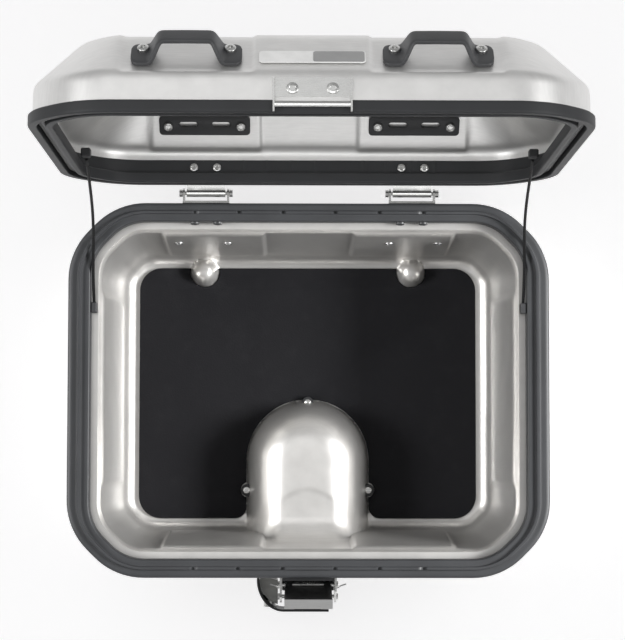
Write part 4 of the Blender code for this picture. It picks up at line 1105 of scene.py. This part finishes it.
# %% One finish per solid
BY_SLOT = {"satin_aluminium": SHEET, "black_plastic": DARK_PLASTIC, "black_rubber": MAT_RUBBER,
           "bright_steel": STEEL, "grey_zinc": ZINC, "black_cord": BRAID}
for part in frame["record"]["subparts"]:
    node = frame["nodes"][part["node"]]
    node.data.materials.clear()
    node.data.materials.append(BY_SLOT[part["material_slot"]])
bright = brushed("claw_finish", (0.80, 0.80, 0.79), 0.30)
claw = frame["nodes"]["latch_claw"].data
claw.materials.clear()
claw.materials.append(bright)
print(len(frame["nodes"]), "solids finished")

# %% [markdown]
# ## Light
#
# A pale floor, a white sky and seven soft boxes. The key hangs above, and one box stands in front. The two
# low side boxes reach only the case and three more reach only the lid, so each body has its own brightness.
# Metal shows what it reflects, so the boxes are large and far.

# %% Studio
TABLE_Z, REACH = -0.0006, 6.0        # just under the feet, and half the table's side
table_mesh = bpy.data.meshes.new("table")
table_mesh.from_pydata([(x * REACH, y * REACH, TABLE_Z) for x, y in ((-1, -1), (1, -1), (1, 1), (-1, 1))],
                       [], [(0, 1, 2, 3)])
table = bpy.data.objects.new("table", table_mesh)
bpy.context.scene.collection.objects.link(table)
table_top = finish("table_top", (0.90, 0.90, 0.905), 0.9, Emission_Color=tint((1.0, 0.995, 1.0)),
                   Emission_Strength=0.52)[0]
table_mesh.materials.append(table_top)
table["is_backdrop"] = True
world = bpy.context.scene.world or bpy.data.worlds.new("studio")
bpy.context.scene.world = world
world.use_nodes = True
world.node_tree.nodes["Background"].inputs["Color"].default_value = (1.0, 1.0, 1.0, 1.0)
world.node_tree.nodes["Background"].inputs["Strength"].default_value = 0.42
bpy.context.scene.view_settings.view_transform = "Standard"


def soft_box(name, place, aim, size, power, body=None):
    """A rectangular light turned to look at a point; with a body named, it lights only that body's pieces."""
    light = bpy.data.lights.new(name, "AREA")
    light.shape, light.size, light.size_y, light.energy = "RECTANGLE", size[0], size[1], power
    obj = bpy.data.objects.new(name, light)
    obj.location = place
    obj.rotation_euler = (Vector(aim) - Vector(place)).to_track_quat("-Z", "Y").to_euler()
    bpy.context.scene.collection.objects.link(obj)
    if body:
        lit = bpy.data.collections.new(f"lit_by_{name}")
        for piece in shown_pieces():
            if body_of(piece) == [body]:
                lit.objects.link(piece)
        obj.light_linking.receiver_collection = lit


soft_box("key", (-0.5, 0.5, 2.6), (0.0, 0.0, 0.1), (1.6, 1.2), 4.0)
soft_box("right", (1.4, 0.0, 1.05), (-0.2, 0.0, 0.08), (0.6, 0.45), 74.0, "case")
soft_box("left", (-1.4, 0.0, 1.05), (0.2, 0.0, 0.08), (0.6, 0.45), 32.0, "case")
soft_box("lid_right", (1.5, 0.0, 1.60), (0.0, 0.2, 0.4), (0.8, 0.8), 14.0, "lid")
soft_box("lid_top", (0.0, -0.2, 2.6), (0.0, 0.25, 0.5), (1.4, 0.7), 7.0, "lid")
soft_box("lid_left", (-1.5, 0.0, 1.60), (0.0, 0.2, 0.4), (0.8, 0.8), 12.0, "lid")
soft_box("front", (0.2, -1.9, 0.7), (0.0, 0.15, 0.35), (1.4, 0.5), 4.5)
print("lights placed")

# %% Sizes and finish
low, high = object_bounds()
